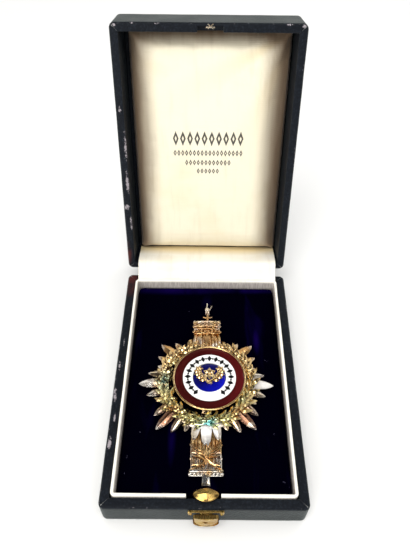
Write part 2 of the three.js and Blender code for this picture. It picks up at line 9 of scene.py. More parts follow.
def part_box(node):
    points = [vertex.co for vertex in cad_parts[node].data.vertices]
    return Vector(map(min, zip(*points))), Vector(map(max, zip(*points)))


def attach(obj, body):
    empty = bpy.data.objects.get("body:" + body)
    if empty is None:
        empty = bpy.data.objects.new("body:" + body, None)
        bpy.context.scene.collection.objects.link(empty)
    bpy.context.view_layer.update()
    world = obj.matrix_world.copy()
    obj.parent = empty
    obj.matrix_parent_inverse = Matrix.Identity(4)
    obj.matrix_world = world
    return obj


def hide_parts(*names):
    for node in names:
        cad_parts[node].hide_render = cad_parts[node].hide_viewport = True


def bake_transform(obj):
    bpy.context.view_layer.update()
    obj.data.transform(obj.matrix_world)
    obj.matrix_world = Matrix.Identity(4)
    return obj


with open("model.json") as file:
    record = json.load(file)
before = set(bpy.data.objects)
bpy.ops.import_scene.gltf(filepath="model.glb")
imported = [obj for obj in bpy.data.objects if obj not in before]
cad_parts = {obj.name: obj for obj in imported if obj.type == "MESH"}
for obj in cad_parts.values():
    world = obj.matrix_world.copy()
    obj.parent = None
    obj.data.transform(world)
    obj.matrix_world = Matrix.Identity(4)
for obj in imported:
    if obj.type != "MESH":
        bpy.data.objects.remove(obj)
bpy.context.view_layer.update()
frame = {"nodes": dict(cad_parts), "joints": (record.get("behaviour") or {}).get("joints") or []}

bl_info = {
    "name": "Badge of office in its box",
    "version": (1, 0, 0),
    "blender": (4, 5, 0),
    "location": "View3D > Sidebar > Badge",
    "description": "Builds a star badge and its hinged presentation box around a packed model",
    "category": "Object",
}

MM = 0.001
TURN = 2 * math.pi


def mm(*values):
    """Lengths in metres, given in millimetres."""
    return tuple(value * MM for value in values)


def clamped(value, low=0.0, high=1.0):
    return min(max(value, low), high)


# The lid's own frame: x along the hinge, y up the open lid, z out of its mouth.
HINGE_JOINT = next(joint for joint in frame["joints"] if joint["name"] == "lid_hinge")
HINGE = Vector(HINGE_JOINT["pos_m"])
LID_OPEN = math.radians(HINGE_JOINT["range_deg"][1])
LID_PLACE = Matrix.Translation(HINGE) @ Matrix.Rotation(math.pi - LID_OPEN, 4, "X")
LID_TURN = LID_PLACE.to_euler()


def box_in(node, place):
    """Lowest and highest corner of a CAD node in the axes of a placed frame, in metres."""
    inverse = place.inverted()
    points = [inverse @ vertex.co for vertex in frame["nodes"][node].data.vertices]
    low = Vector([min(point[axis] for point in points) for axis in range(3)])
    high = Vector([max(point[axis] for point in points) for axis in range(3)])
    return low, high


BASE_LOW, BASE_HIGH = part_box("base_shell")
LID_LOW, LID_HIGH = box_in("lid_shell", LID_PLACE)
TRIM_LOW, TRIM_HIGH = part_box("ivory_trim")
MEDAL_LOW, MEDAL_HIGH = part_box("medallion_bezel")
STAR_CENTRE_X = (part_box("star_rays")[0].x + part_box("star_rays")[1].x) / 2
MEDAL_CENTRE = (MEDAL_LOW + MEDAL_HIGH) / 2


# Sizes and colours that a user would change


def millimetres(name, description, value, low=0.01, high=200.0):
    """A length property whose default is given in millimetres."""
    return bpy.props.FloatProperty(
        name=name, description=description, default=value * MM, min=low * MM, max=high * MM,
        unit="LENGTH", precision=5,
    )


def colour(name, description, value):
    """A colour property in linear light."""
    return bpy.props.FloatVectorProperty(
        name=name, description=description, default=value, size=3, min=0.0, max=1.0, subtype="COLOR",
    )


def count(name, description, value, low=1, high=400):
    """A whole-number property."""
    return bpy.props.IntProperty(name=name, description=description, default=value, min=low, max=high)


def number(name, description, value, low=0.0, unit="NONE"):
    """A plain number, or with a unit a quantity."""
    return bpy.props.FloatProperty(name=name, description=description, default=value, min=low, unit=unit)


class BadgeBoxSizes(bpy.types.PropertyGroup):
    """Sizes of the box and its linings."""

    base_wall: millimetres("Base wall", "Thickness of the base's walls", 3.9)
    lid_wall: millimetres("Lid wall", "Thickness of the lid's walls", 3.6)
    board: millimetres("Board", "Thickness of the floor and of the lid's top", 2.2)
    corner: millimetres("Corner", "Radius of the box's upright corners", 2.4)
    edge: millimetres("Edge", "Radius of the box's outer edges", 1.1)
    mitre: millimetres("Mitre", "Depth of the seam where the covering is mitred at a corner", 0.16)
    trim_wall: millimetres("Trim wall", "Thickness of the ivory liner", 1.2)
    trim_gap_left: millimetres("Trim gap left", "Left end of the liner's gap at the catch", -7.0, low=-40)
    trim_gap_right: millimetres("Trim gap right", "Right end of the liner's gap at the catch", 6.5)
    satin_crown: millimetres("Satin crown", "How far the satin pad's crown lies below the lid's rim", 6.5)
    satin_edge: millimetres("Satin edge", "How far the satin pad's border lies below the lid's rim", 12.5)


class BadgeBoxColours(bpy.types.PropertyGroup):
    """Colours of the box and its linings."""

    leather: colour("Leatherette", "Covering of the box", (0.0022, 0.0034, 0.0062))
    pebble: colour("Pebble", "Tops of the covering's grain", (0.0115, 0.0155, 0.0235))
    seam: colour("Seam", "Pale line where the covering is mitred", (0.26, 0.26, 0.25))
    scuffed: colour("Scuffed", "Bare grey backing where the covering is rubbed through", (0.30, 0.27, 0.29))
    faded: colour("Faded", "Red-brown patch where the dye has gone", (0.060, 0.012, 0.011))
    ivory: colour("Ivory", "Painted board of the liner", (0.93, 0.90, 0.81))
    velvet: colour("Velvet", "Pile of the velvet", (0.0002, 0.0001, 0.0022))
    # Painted sheen of the velvet's brushed pile.
    velvet_sheen: colour("Velvet nap", "Velvet brushed towards the light", (0.005, 0.0010, 0.052))
    satin: colour("Satin", "Satin of the lid's pad", (0.87, 0.80, 0.62))
    # Painted shade along the satin pad's borders.
    satin_shade: colour("Shaded satin", "Browned satin along the pad's borders", (0.21, 0.145, 0.092))
    gusset: colour("Gusset", "Whiter satin across the hinge", (0.93, 0.90, 0.81))
    # Painted shade in the satin's folds and in the gusset's crease.
    satin_fold_shade: colour("Satin fold", "Aged satin in its folds", (0.74, 0.58, 0.29))
    print_ink: colour("Ink", "Printed ornament on the satin", (0.030, 0.028, 0.024))


class BadgeSizes(bpy.types.PropertyGroup):
    """Sizes of the badge and how many of each part it has."""

    star_y: millimetres("Star centre", "Place of the star's centre along the box", -5.6, low=-80)
    clusters: count("Clusters", "Places for a cluster of rays, one of them hidden by the upper fasces", 8)
    long_tip: millimetres("Long ray", "Reach of a cluster's middle ray", 29.6)
    side_tip: millimetres("Side ray", "Reach of a cluster's outer rays", 26.4)
    small_tip: millimetres("Small ray", "Reach of the small rays between clusters", 23.3)
    wreath_radius: millimetres("Wreath radius", "Radius of the wreath's branches", 19.2)
    sprigs: count("Sprigs", "Sprigs of leaves on each branch of the wreath", 12)
    rods: count("Rods", "Rods across each bundle", 9)
    ornaments: count("Ornaments", "Lozenges round the white ring", 17)
    lint_density: number("Lint density", "Threads of lint for each square metre of velvet", 7000.0)


class BadgeColours(bpy.types.PropertyGroup):
    """Colours of the badge's metals and enamels."""

    silver: colour("Silver", "Bare silver where the gilding has worn", (0.88, 0.84, 0.77))
    gilt: colour("Gilt", "Gilding on silver", (0.83, 0.60, 0.30))
    bright_gilt: colour("Bright gilt", "Polished gilding of the bezel", (0.90, 0.62, 0.30))
    pale_gilt: colour("Pale gilt", "Matt pale gilding of the device", (0.93, 0.74, 0.46))
    rose: colour("Rose", "Rose tone of thin gilding", (0.20, 0.105, 0.065))
    copper: colour("Copper", "Deep copper-gold", (0.60, 0.345, 0.145))
    green_gilt: colour("Green gilt", "Greenish gold of the wreath", (0.64, 0.60, 0.29))
    aqua: colour("Aqua", "Blue-green film left in the wreath", (0.16, 0.46, 0.44))
    brass: colour("Brass", "Brass of the clasp", (0.58, 0.40, 0.12))
    maroon: colour("Maroon", "Deep side of the red enamel", (0.050, 0.0008, 0.0008))
    maroon_light: colour("Light maroon", "Light side of the red enamel", (0.120, 0.003, 0.005))
    white: colour("White", "White enamel", (0.89, 0.885, 0.87))
    blue: colour("Blue", "Deep side of the blue enamel", (0.0006, 0.001, 0.055))
    blue_light: colour("Light blue", "Light side of the blue enamel", (0.001, 0.005, 0.60))


class BadgeStage(bpy.types.PropertyGroup):
    """Floor, light and camera."""

    floor_size: number("Floor size", "Side of the square floor", 6.0, 0.5, "LENGTH")
    key_power: number("Key power", "Power of the key light in watts", 3.4)
    rim_power: number("Rim power", "Power of the light behind the lid in watts", 0.9)
    front_power: number("Front power", "Power of the light in front of the box in watts", 3.0)


# Node trees


class Nodes:
    """Adds nodes to one tree and joins them, so that a tree reads as a list of steps."""

    def __init__(self, tree):
        self.tree = tree

    def feed(self, socket, value):
        if isinstance(value, bpy.types.NodeSocket):
            self.tree.links.new(value, socket)
        else:
            socket.default_value = value

    def add(self, kind, inputs=None, **settings):
        node = self.tree.nodes.new(kind)
        for name, value in settings.items():
            setattr(node, name, value)
        for key, value in (inputs or {}).items():
            self.feed(node.inputs[key], value)
        return node

    def math(self, operation, *values, clamp=False):
        node = self.add("ShaderNodeMath", operation=operation, use_clamp=clamp)
        for socket, value in zip(node.inputs, values):
            self.feed(socket, value)
        return node.outputs[0]

    def times(self, *values, clamp=False):
        return self.math("MULTIPLY", *values, clamp=clamp)

    def times_plus(self, first, second, third):
        return self.math("MULTIPLY_ADD", first, second, third)

    def plus(self, first, second):
        return self.math("ADD", first, second)

    def minus(self, first, second):
        return self.math("SUBTRACT", first, second)

    def most(self, first, second):
        return self.math("MAXIMUM", first, second)

    def absolute(self, value):
        return self.math("ABSOLUTE", value)

    def sine(self, value):
        return self.math("SINE", value)

    def vector(self, operation, first, second=(0.0, 0.0, 0.0), output="Vector"):
        node = self.add("ShaderNodeVectorMath", {0: first, 1: second}, operation=operation)
        return node.outputs[output]

    def mix(self, factor, first, second, blend="MIX"):
        node = self.add("ShaderNodeMix", data_type="RGBA", blend_type=blend)
        self.feed(node.inputs[0], factor)
        self.feed(node.inputs[6], rgba(first))
        self.feed(node.inputs[7], rgba(second))
        return node.outputs[2]

    def span(self, value, low, high, start=0.0, end=1.0):
        """A smooth step from start to end while value goes from low to high."""
        inputs = {"Value": value, "From Min": low, "From Max": high, "To Min": start, "To Max": end}
        return self.add("ShaderNodeMapRange", inputs, interpolation_type="SMOOTHSTEP").outputs["Result"]

    def noise(self, place, scale, detail=3.0, roughness=0.55, distortion=0.0):
        inputs = {"Vector": place, "Scale": scale, "Detail": detail, "Roughness": roughness}
        inputs["Distortion"] = distortion
        return self.add("ShaderNodeTexNoise", inputs).outputs["Fac"]

    def axes(self, place):
        return self.add("ShaderNodeSeparateXYZ", {"Vector": place}).outputs


def rgba(value):
    """Adds alpha to a plain colour and leaves a socket as it is."""
    if isinstance(value, bpy.types.NodeSocket):
        return value
    return (*value, 1.0)[:4]


def add_sockets(tree, way, sockets):
    """Adds sockets to a group: each is a name, a kind and, where it has one, a default."""
    for name, kind, *default in sockets:
        socket = tree.interface.new_socket(name=name, in_out=way, socket_type=f"NodeSocket{kind}")
        for value in default:
            socket.default_value = value


def shader_group(name, inputs, outputs):
    """An empty shader group: its nodes, its incoming sockets and its outgoing ones."""
    tree = bpy.data.node_groups.new(name, "ShaderNodeTree")
    add_sockets(tree, "INPUT", inputs)
    add_sockets(tree, "OUTPUT", outputs)
    nodes = Nodes(tree)
    return nodes, nodes.add("NodeGroupInput").outputs, nodes.add("NodeGroupOutput").inputs


def make_wear_group():
    """Ragged wear: a mask that grows out of the places where Exposure is high."""
    inputs = [("Vector", "Vector"), ("Exposure", "Float", 0.0), ("Scale", "Float", 600.0)]
    inputs += [("Amount", "Float", 0.5)]
    nodes, start, end = shader_group("wear", inputs, [("Mask", "Float")])
    coarse = nodes.noise(start["Vector"], nodes.times(start["Scale"], 0.16), detail=2.0)
    fine = nodes.noise(start["Vector"], start["Scale"], detail=5.0, roughness=0.7)
    ragged = nodes.plus(nodes.times(coarse, 0.6), nodes.times(fine, 0.6))
    raised = nodes.times_plus(start["Exposure"], start["Amount"], ragged)
    nodes.feed(end["Mask"], nodes.span(raised, 0.93, 1.02))


def make_grain_group():
    """Fine leather grain: rounded pebbles with creases between them."""
    inputs = [("Vector", "Vector"), ("Scale", "Float", 1500.0)]
    nodes, start, end = shader_group("grain", inputs, [("Height", "Float")])
    cells = nodes.add("ShaderNodeTexVoronoi", {"Vector": start["Vector"], "Scale": start["Scale"]})
    pebble = nodes.span(cells.outputs["Distance"], 0.05, 0.75, 1.0, 0.0)
    ripple = nodes.noise(start["Vector"], nodes.times(start["Scale"], 0.35), detail=4.0)
    nodes.feed(end["Height"], nodes.times_plus(ripple, 0.8, pebble))


def make_weave_group():
    """Ribbed weave: threads across U with a fainter thread along V, uneven in thickness."""
    inputs = [("Vector", "Vector"), ("Threads", "Float", 2400.0)]
    nodes, start, end = shader_group("weave", inputs, [("Height", "Float"), ("Slub", "Float")])
    axes = nodes.axes(start["Vector"])
    stretched = nodes.vector("MULTIPLY", start["Vector"], (260.0, 26.0, 260.0))
    slub = nodes.noise(stretched, 1.0, detail=3.0)
    angle = nodes.times(start["Threads"], TURN)
    warp = nodes.sine(nodes.times_plus(axes["X"], angle, nodes.times(slub, 4.0)))
    weft_angle = nodes.times(angle, 0.6)
    weft = nodes.sine(nodes.times(axes["Y"], weft_angle))
    nodes.feed(end["Height"], nodes.times_plus(weft, 0.5, warp))
    nodes.feed(end["Slub"], slub)


def make_speck_group():
    """Dust and lint: scattered dots of uneven size."""
    inputs = [("Vector", "Vector"), ("Scale", "Float", 400.0), ("Size", "Float", 0.12)]
    nodes, start, end = shader_group("specks", inputs, [("Mask", "Float")])
    warped = nodes.add("ShaderNodeTexNoise", {"Vector": start["Vector"], "Scale": start["Scale"]})
    shaken = nodes.vector("SCALE", warped.outputs["Color"], (0.0, 0.0, 0.0))
    shaken.node.inputs["Scale"].default_value = 0.0012
    place = nodes.vector("ADD", start["Vector"], shaken)
    cells = nodes.add("ShaderNodeTexVoronoi", {"Vector": place, "Scale": start["Scale"]})
    rarity = nodes.axes(cells.outputs["Color"])["X"]
    reach = nodes.times(start["Size"], nodes.span(rarity, 0.55, 1.0))
    inside = nodes.minus(reach, cells.outputs["Distance"])
    nodes.feed(end["Mask"], nodes.span(inside, 0.0, 0.04))


def make_tarnish_group():
    """Cloudy tarnish on plated metal: Cloud is broad and Fleck is fine."""
    inputs = [("Vector", "Vector"), ("Scale", "Float", 160.0)]
    nodes, start, end = shader_group("tarnish", inputs, [("Cloud", "Float"), ("Fleck", "Float")])
    cloud = nodes.noise(start["Vector"], start["Scale"], detail=2.0)
    fleck = nodes.noise(start["Vector"], nodes.times(start["Scale"], 9.0), detail=4.0, roughness=0.7)
    nodes.feed(end["Cloud"], nodes.span(cloud, 0.38, 0.62))
    nodes.feed(end["Fleck"], nodes.span(fleck, 0.45, 0.75))


class Finish(Nodes):
    """A material whose Principled shader stays in the material itself."""

    def __init__(self, name):
        self.material = bpy.data.materials.new(name)
        self.material.use_nodes = True
        super().__init__(self.material.node_tree)
        self.tree.nodes.clear()
        self.shader = self.add("ShaderNodeBsdfPrincipled")
        self.add("ShaderNodeOutputMaterial", {"Surface": self.shader.outputs[0]})
        self.place = self.add("ShaderNodeTexCoord").outputs["Object"]

    def group(self, name, inputs):
        node = self.add("ShaderNodeGroup", node_tree=bpy.data.node_groups[name])
        for key, value in inputs.items():
            self.feed(node.inputs[key], value)
        return node.outputs

    def patch(self, centre, size, turn=(0.0, 0.0, 0.0)):
        """1 at the middle of an ellipsoid round centre and 0 at its skin."""
        inputs = {"Vector": self.place, "Location": centre, "Rotation": turn, "Scale": size}
        inside = self.add("ShaderNodeMapping", inputs, vector_type="TEXTURE").outputs[0]
        return self.span(self.vector("LENGTH", inside, output="Value"), 0.0, 1.0, 1.0, 0.0)

    def attribute(self, name):
        return self.add("ShaderNodeAttribute", attribute_name=name).outputs["Fac"]

    def uv(self):
        return self.add("ShaderNodeUVMap", uv_map="cloth").outputs["UV"]

    def bump(self, height, distance, under=None):
        inputs = {"Height": height, "Distance": distance}
        if under is not None:
            inputs["Normal"] = under
        return self.add("ShaderNodeBump", inputs).outputs["Normal"]

    def surface(self, inputs):
        for key, value in inputs.items():
            is_colour = key in ("Base Color", "Sheen Tint", "Coat Tint", "Specular Tint")
            self.feed(self.shader.inputs[key], rgba(value) if is_colour else value)
        return self.material


# Meshes and pieces


def linked(name, data):
    """A new object in the scene."""
    thing = bpy.data.objects.new(name, data)
    bpy.context.scene.collection.objects.link(thing)
    return thing


def baked(holder):
    """The plain mesh that an object's modifiers give. The object itself goes."""
    graph = bpy.context.evaluated_depsgraph_get()
    result = bpy.data.meshes.new_from_object(holder.evaluated_get(graph))
    bpy.data.objects.remove(holder)
    return result


def mark(mesh, name, values):
    """Writes one number for each vertex under a name that materials read."""
    mesh.attributes.new(name, "FLOAT", "POINT").data.foreach_set("value", values)


def loft(rings, closed_rings=True, wraps=False):
    """A closed mesh through rings of points. Open rings need wraps, and their two ends are capped."""
    bm = bmesh.new()
    rows = [[bm.verts.new(point) for point in ring] for ring in rings]
    pairs = list(zip(rows, rows[1:]))
    if wraps:
        pairs.append((rows[-1], rows[0]))
    spans = len(rings[0]) if closed_rings else len(rings[0]) - 1
    for near, far in pairs:
        for index in range(spans):
            following = (index + 1) % len(near)
            bm.faces.new((near[index], near[following], far[following], far[index]))
    if not wraps:
        bm.faces.new(rows[0][::-1])
        bm.faces.new(rows[-1])
    if not closed_rings:
        bm.faces.new([row[0] for row in rows])
        bm.faces.new([row[-1] for row in rows[::-1]])
    return finished(bm)


def finished(bm):
    """The mesh of a closed bmesh, its faces pointing out."""
    bmesh.ops.recalc_face_normals(bm, faces=bm.faces)
    mesh = bpy.data.meshes.new("mesh")
    bm.to_mesh(mesh)
    bm.free()
    return mesh


def joined(meshes):
    """One mesh that holds all of these closed shells."""
    bm = bmesh.new()
    for mesh in meshes:
        bm.from_mesh(mesh)
    result = bpy.data.meshes.new("mesh")
    bm.to_mesh(result)
    bm.free()
    return result


def modified(mesh, kind, **settings):
    """The mesh that one modifier gives, as a plain mesh."""
    holder = linked("holder", mesh)
    modifier = holder.modifiers.new("modifier", kind)
    for name, value in settings.items():
        setattr(modifier, name, value)
    return baked(holder)


def carved(mesh, cutter):
    """The mesh with the cutter's shape taken out of it."""
    tool = linked("cutter", cutter)
    result = modified(mesh, "BOOLEAN", operation="DIFFERENCE", solver="EXACT", object=tool)
    bpy.data.objects.remove(tool)
    return result


def add_piece(name, mesh, material, slot, body, nodes=(), angle=32.0):
    """A finished piece at the origin that rides on a body and stands for its CAD nodes."""
    piece = linked(name, mesh)
    mesh.name = name
    mesh.materials.clear()
    mesh.materials.append(material)
    mesh.polygons.foreach_set("material_index", [0] * len(mesh.polygons))
    mesh.shade_smooth()
    mesh.set_sharp_from_angle(angle=math.radians(angle))
    if body:
        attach(piece, body)
    if nodes:
        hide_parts(*nodes)
    return piece


def arc_steps(steps):
    """Fractions from 0 to 1, both included."""
    return [index / steps for index in range(steps + 1)]


RIM_SPACING = 2.0 * MM
CORNER_STEPS = 8
TIGHTEST_CORNER = 0.3 * MM


def side_steps(low, high):
    """How many steps each side of a rounded outline has."""
    return [max(2, round(length / RIM_SPACING)) for length in (high.x - low.x, high.y - low.y) * 2]


def corner_centres(low, high, inset, radius):
    """Centres of the corners of a rounded rectangle, from the right one in front round to the left one."""
    left, right = low.x + inset + radius, high.x - inset - radius
    front, back = low.y + inset + radius, high.y - inset - radius
    return [(right, front), (right, back), (left, back), (left, front)]


def rounded_outline(low, high, inset, corner):
    """Points round a rectangle with round corners: as many of them at every inset."""
    radius = max(corner - inset, TIGHTEST_CORNER)
    centres = corner_centres(low, high, inset, radius)
    points = []
    for side, steps in enumerate(side_steps(low, high)):
        start = -math.pi / 2 + side * math.pi / 2
        before = Vector(centres[side - 1]) + radius * Vector((math.cos(start), math.sin(start)))
        after = Vector(centres[side]) + radius * Vector((math.cos(start), math.sin(start)))
        points += [before.lerp(after, step / steps) for step in range(1, steps)]
        for part in arc_steps(CORNER_STEPS):
            angle = start + part * math.pi / 2
            points.append(Vector(centres[side]) + radius * Vector((math.cos(angle), math.sin(angle))))
    return points


def mitre_columns(low, high):
    """Places in a rounded outline of the point in the middle of each corner."""
    columns = []
    at = 0
    for steps in side_steps(low, high):
        at += steps - 1
        columns.append(at + CORNER_STEPS // 2)
        at += CORNER_STEPS + 1
    return columns


def at_height(points, height):
    return [Vector((point.x, point.y, height)) for point in points]


def turned(profile, centre, segments, ring=False):
    """A closed shape turned from (radius, height): a ring, or a solid with both ends on the axis."""
    angles = [TURN * index / segments for index in range(segments)]
    rings = []
    for radius, height in profile:
        offsets = [Vector((radius * math.cos(angle), radius * math.sin(angle), 0)) for angle in angles]
        rings.append([Vector((centre.x, centre.y, height)) + offset for offset in offsets])
    return loft(rings, wraps=ring)


# Leatherette covering


def leatherette(name, scuffs, fades):
    """Fine-grained black leatherette. scuffs and fades are (centre, size, turn) of rubbed places."""
    colours = bpy.context.scene.badge_box_colours
    finish = Finish(name)
    grain = finish.group("grain", {"Vector": finish.place, "Scale": 1400.0})["Height"]
    exposure = finish.attribute("exposure")
    for centre, size, turn in scuffs:
        exposure = finish.most(exposure, finish.patch(centre, size, turn))
    wear = {"Vector": finish.place, "Exposure": exposure, "Scale": 1500.0, "Amount": 0.42}
    worn = finish.group("wear", wear)
    specks = finish.group("specks", {"Vector": finish.place, "Scale": 300.0, "Size": 0.10})["Mask"]
    cloud = finish.noise(finish.place, 70.0, detail=3.0)
    mottle = finish.noise(finish.place, 1100.0, detail=3.0, roughness=0.7)
    dark = finish.mix(cloud, colours.leather, [1.6 * part for part in colours.leather])
    base = finish.mix(finish.span(mottle, 0.46, 0.74), dark, colours.pebble)
    for centre, size, turn in fades:
        ragged = finish.times(finish.patch(centre, size, turn), finish.span(cloud, 0.25, 0.5))
        base = finish.mix(finish.times(ragged, 1.6, clamp=True), base, colours.faded)
    seam = finish.times(finish.span(finish.attribute("seam"), 0.35, 0.8), finish.span(mottle, 0.32, 0.5))
    base = finish.mix(seam, base, colours.seam)
    rubbed = finish.mix(worn["Mask"], base, colours.scuffed)
    dusty = finish.mix(finish.times(specks, 0.30), rubbed, (0.35, 0.36, 0.40))
    height = finish.minus(grain, finish.times(worn["Mask"], 0.8))
    return finish.surface({
        "Base Color": dusty,
        "Roughness": finish.span(cloud, 0.2, 0.8, 0.44, 0.58),
        "Specular IOR Level": 0.12,
        # Less sheen on the inner walls: painted shade inside the box.
        "Sheen Weight": finish.span(finish.attribute("inside"), 0.0, 1.0, 0.15, 0.02),
        "Sheen Roughness": 0.42,
        "Sheen Tint": (0.86, 1.0, 0.92),
        "Normal": finish.bump(height, 0.00006),
    })


EDGE_REACH = 1.6 * MM


def exposure(co, low, high):
    """How exposed a point is: most on the box's outer edges, less on its upright corners."""
    near, far = sorted([co.x - low.x, high.x - co.x, co.y - low.y, high.y - co.y])[:2]
    rim = 1 - math.hypot(near, high.z - co.z) / EDGE_REACH
    foot = 0.9 - math.hypot(near, co.z - low.z) / EDGE_REACH
    upright = 0.95 - math.hypot(near, far) / (1.5 * EDGE_REACH)
    return 0.8 * max(0.0, rim, foot, upright)


def tray_mesh(low, high, wall, board, sizes):
    """One half of the box, mouth up: outer wall, rounded rim with mitred covering, and inner wall."""
    edge = sizes.edge
    stations = []
    for part in arc_steps(5):
        angle = part * math.pi / 2
        stations.append((edge * (1 - math.sin(angle)), low.z + edge * (1 - math.cos(angle))))
    stations += [(0.0, low.z + 2.6 * edge), (0.0, (low.z + high.z) / 2), (0.0, high.z - 2.6 * edge)]
    for part in arc_steps(6):
        angle = part * math.pi / 2
        stations.append((edge * (1 - math.cos(angle)), high.z - edge * (1 - math.sin(angle))))
    rim_first = len(stations) - 1
    lip = 0.35 * edge
    stations += [(edge + part * (wall - edge - lip), high.z) for part in (0.35, 0.7, 1.0)]
    rim_last = len(stations)
    stations += [(wall - 0.3 * lip, high.z - 0.3 * lip), (wall, high.z - lip), (wall, low.z + board + lip)]
    stations += [(wall + lip, low.z + board), (wall + 4 * lip, low.z + board)]
    seams = mitre_columns(low, high)
    rings = []
    for index, (inset, height) in enumerate(stations):
        ring = at_height(rounded_outline(low, high, inset, sizes.corner), height)
        if rim_first - 4 <= index <= rim_last:
            for column in seams:
                ring[column].z -= sizes.mitre
        rings.append(ring)
    mesh = loft(rings)
    mark(mesh, "exposure", [exposure(vertex.co, low, high) for vertex in mesh.vertices])
    places = [divmod(index, len(rings[0])) for index in range(len(mesh.vertices))]
    mark(mesh, "seam", [
        float(rim_first - 2 <= row <= rim_last and column in seams) for row, column in places
    ])
    # Rings inside the rim, where the leatherette's sheen is lowered as painted shade.
    mark(mesh, "inside", [float(row > rim_last) for row, column in places])
    for vertex in mesh.vertices:
        vertex.co += vertex.normal * (0.07 * MM * noise.noise(vertex.co * 95.0))
        vertex.co.z = clamped(vertex.co.z, low.z, high.z)
    return mesh


class BADGE_OT_cover_base(bpy.types.Operator):
    """Cover the base with leatherette"""

    bl_idname = "badge.cover_base"
    bl_label = "Base covering"

    def execute(self, context):
        sizes = context.scene.badge_box_sizes
        mesh = tray_mesh(BASE_LOW, BASE_HIGH, sizes.base_wall, sizes.board, sizes)
        rim = BASE_HIGH.z
        left = BASE_LOW.x
        flat = (0.0, 0.0, 0.0)
        marks = [
            (2.2, 16, 1.4, 6), (1.6, 3, 1.6, 7), (1.2, -11, 2.4, 8), (2.2, -22, 1.6, 9), (1.4, -33, 2.6, 9),
        ]
        scuffs = [
            ((left + across * MM, y * MM, rim), mm(wide, long, 3.0), flat)
            for across, y, wide, long in marks
        ]
        scuffs.append(((left, 8.0 * MM, rim - 3 * MM), mm(2.0, 9.0, 4.0), flat))
        fades = [((left + 2 * MM, BASE_HIGH.y - 4 * MM, rim), mm(6.0, 13.0, 6.0), flat)]
        add_piece("base_cover", mesh, leatherette("base_leatherette", scuffs, fades),
                  "leatherette", "base", ["base_shell"])
        return {"FINISHED"}


class BADGE_OT_cover_lid(bpy.types.Operator):
    """Cover the lid with leatherette"""

    bl_idname = "badge.cover_lid"
    bl_label = "Lid covering"

    def execute(self, context):
        sizes = context.scene.badge_box_sizes
        mesh = tray_mesh(LID_LOW, LID_HIGH, sizes.lid_wall, sizes.board, sizes)
        strike_low, strike_high = box_in("strike_plate", LID_PLACE)
        middle = (strike_low.x + strike_high.x) / 2
        inner = LID_HIGH.y - sizes.lid_wall * 1.4
        notch = bar_mesh(Vector((middle - 5.3 * MM, inner, LID_HIGH.z - 4.3 * MM)),
                         Vector((middle + 5.3 * MM, LID_HIGH.y - 1.2 * MM, LID_HIGH.z + MM)), 0.3 * MM)
        mesh = carved(mesh, notch)
        mesh.transform(LID_PLACE)
        turn = tuple(LID_TURN)

        def on_lid(x, y, z=LID_HIGH.z / MM):
            return LID_PLACE @ (Vector((x, y, z)) * MM)

        left = LID_LOW.x / MM
        marks = [
            (1.8, 84, 2.6, 5), (3.1, 68, 1.8, 17), (2.6, 51, 1.8, 16), (1.6, 37, 3.2, 7), (3.0, 28, 1.6, 9),
        ]
        scuffs = [
            (on_lid(left + across, y), mm(wide, long, 2.5), turn)
            for across, y, wide, long in marks
        ]
        for side in (left + 2, -left - 2):
            scuffs.append((on_lid(side, LID_HIGH.y / MM - 1), mm(2.6, 2.0, 2.4), turn))
        fades = [(on_lid(left, 12), mm(3.0, 10.0, 6.0), turn)]
        add_piece("lid_cover", mesh, leatherette("lid_leatherette", scuffs, fades),
                  "leatherette", "lid", ["lid_shell"])
        return {"FINISHED"}


# Ivory liner


def ivory_finish():
    colours = bpy.context.scene.badge_box_colours
    finish = Finish("ivory_board")
    stretched = finish.vector("MULTIPLY", finish.place, (1.0, 1.0, 0.08))
    threads = finish.noise(stretched, 2600.0, detail=3.0)
    cloud = finish.noise(finish.place, 120.0, detail=3.0)
    darker = [0.86 * part for part in colours.ivory]
    aged = finish.mix(finish.span(cloud, 0.35, 0.75), colours.ivory, darker)
    # Below the bead's top the board turns a darker grey: painted shade down the liner's walls.
    height = finish.axes(finish.place)["Z"]
    inside = finish.span(height, TRIM_HIGH.z - 1.5 * MM, TRIM_HIGH.z - 0.5 * MM, 1.0, 0.0)
    wall_shade = finish.mix(finish.span(threads, 0.35, 0.7), (0.56, 0.52, 0.48), (0.34, 0.30, 0.28))
    aged = finish.mix(inside, aged, wall_shade)
    grubby = finish.group("specks", {"Vector": finish.place, "Scale": 330.0, "Size": 0.16})["Mask"]
    return finish.surface({
        "Base Color": finish.mix(finish.times(grubby, 0.3), aged, (0.40, 0.33, 0.24)),
        "Roughness": finish.span(threads, 0.2, 0.8, 0.42, 0.62),
        "Normal": finish.bump(threads, 0.00004),
    })


def liner_path(low, high, inset, gap_left, gap_right, corner, steps=6):
    """Open path round the liner from the right of the gap to its left, at this inset."""
    radius = max(corner - inset, 0.25 * MM)
    points = [Vector((gap_right, low.y + inset))]
    for (x, y), degrees in zip(corner_centres(low, high, inset, radius), (-90, 0, 90, 180)):
        turns = [math.radians(degrees + 90 * part) for part in arc_steps(steps)]
        arc = [Vector((x + radius * math.cos(turn), y + radius * math.sin(turn))) for turn in turns]
        pieces = max(2, round((arc[0] - points[-1]).length / (4 * MM)))
        points += [points[-1].lerp(arc[0], part / pieces) for part in range(1, pieces)]
        points += arc
    end = Vector((gap_left, low.y + inset))
    pieces = max(2, round((end - points[-1]).length / (4 * MM)))
    last = points[-1]
    points += [last.lerp(end, part / pieces) for part in range(1, pieces + 1)]
    return points


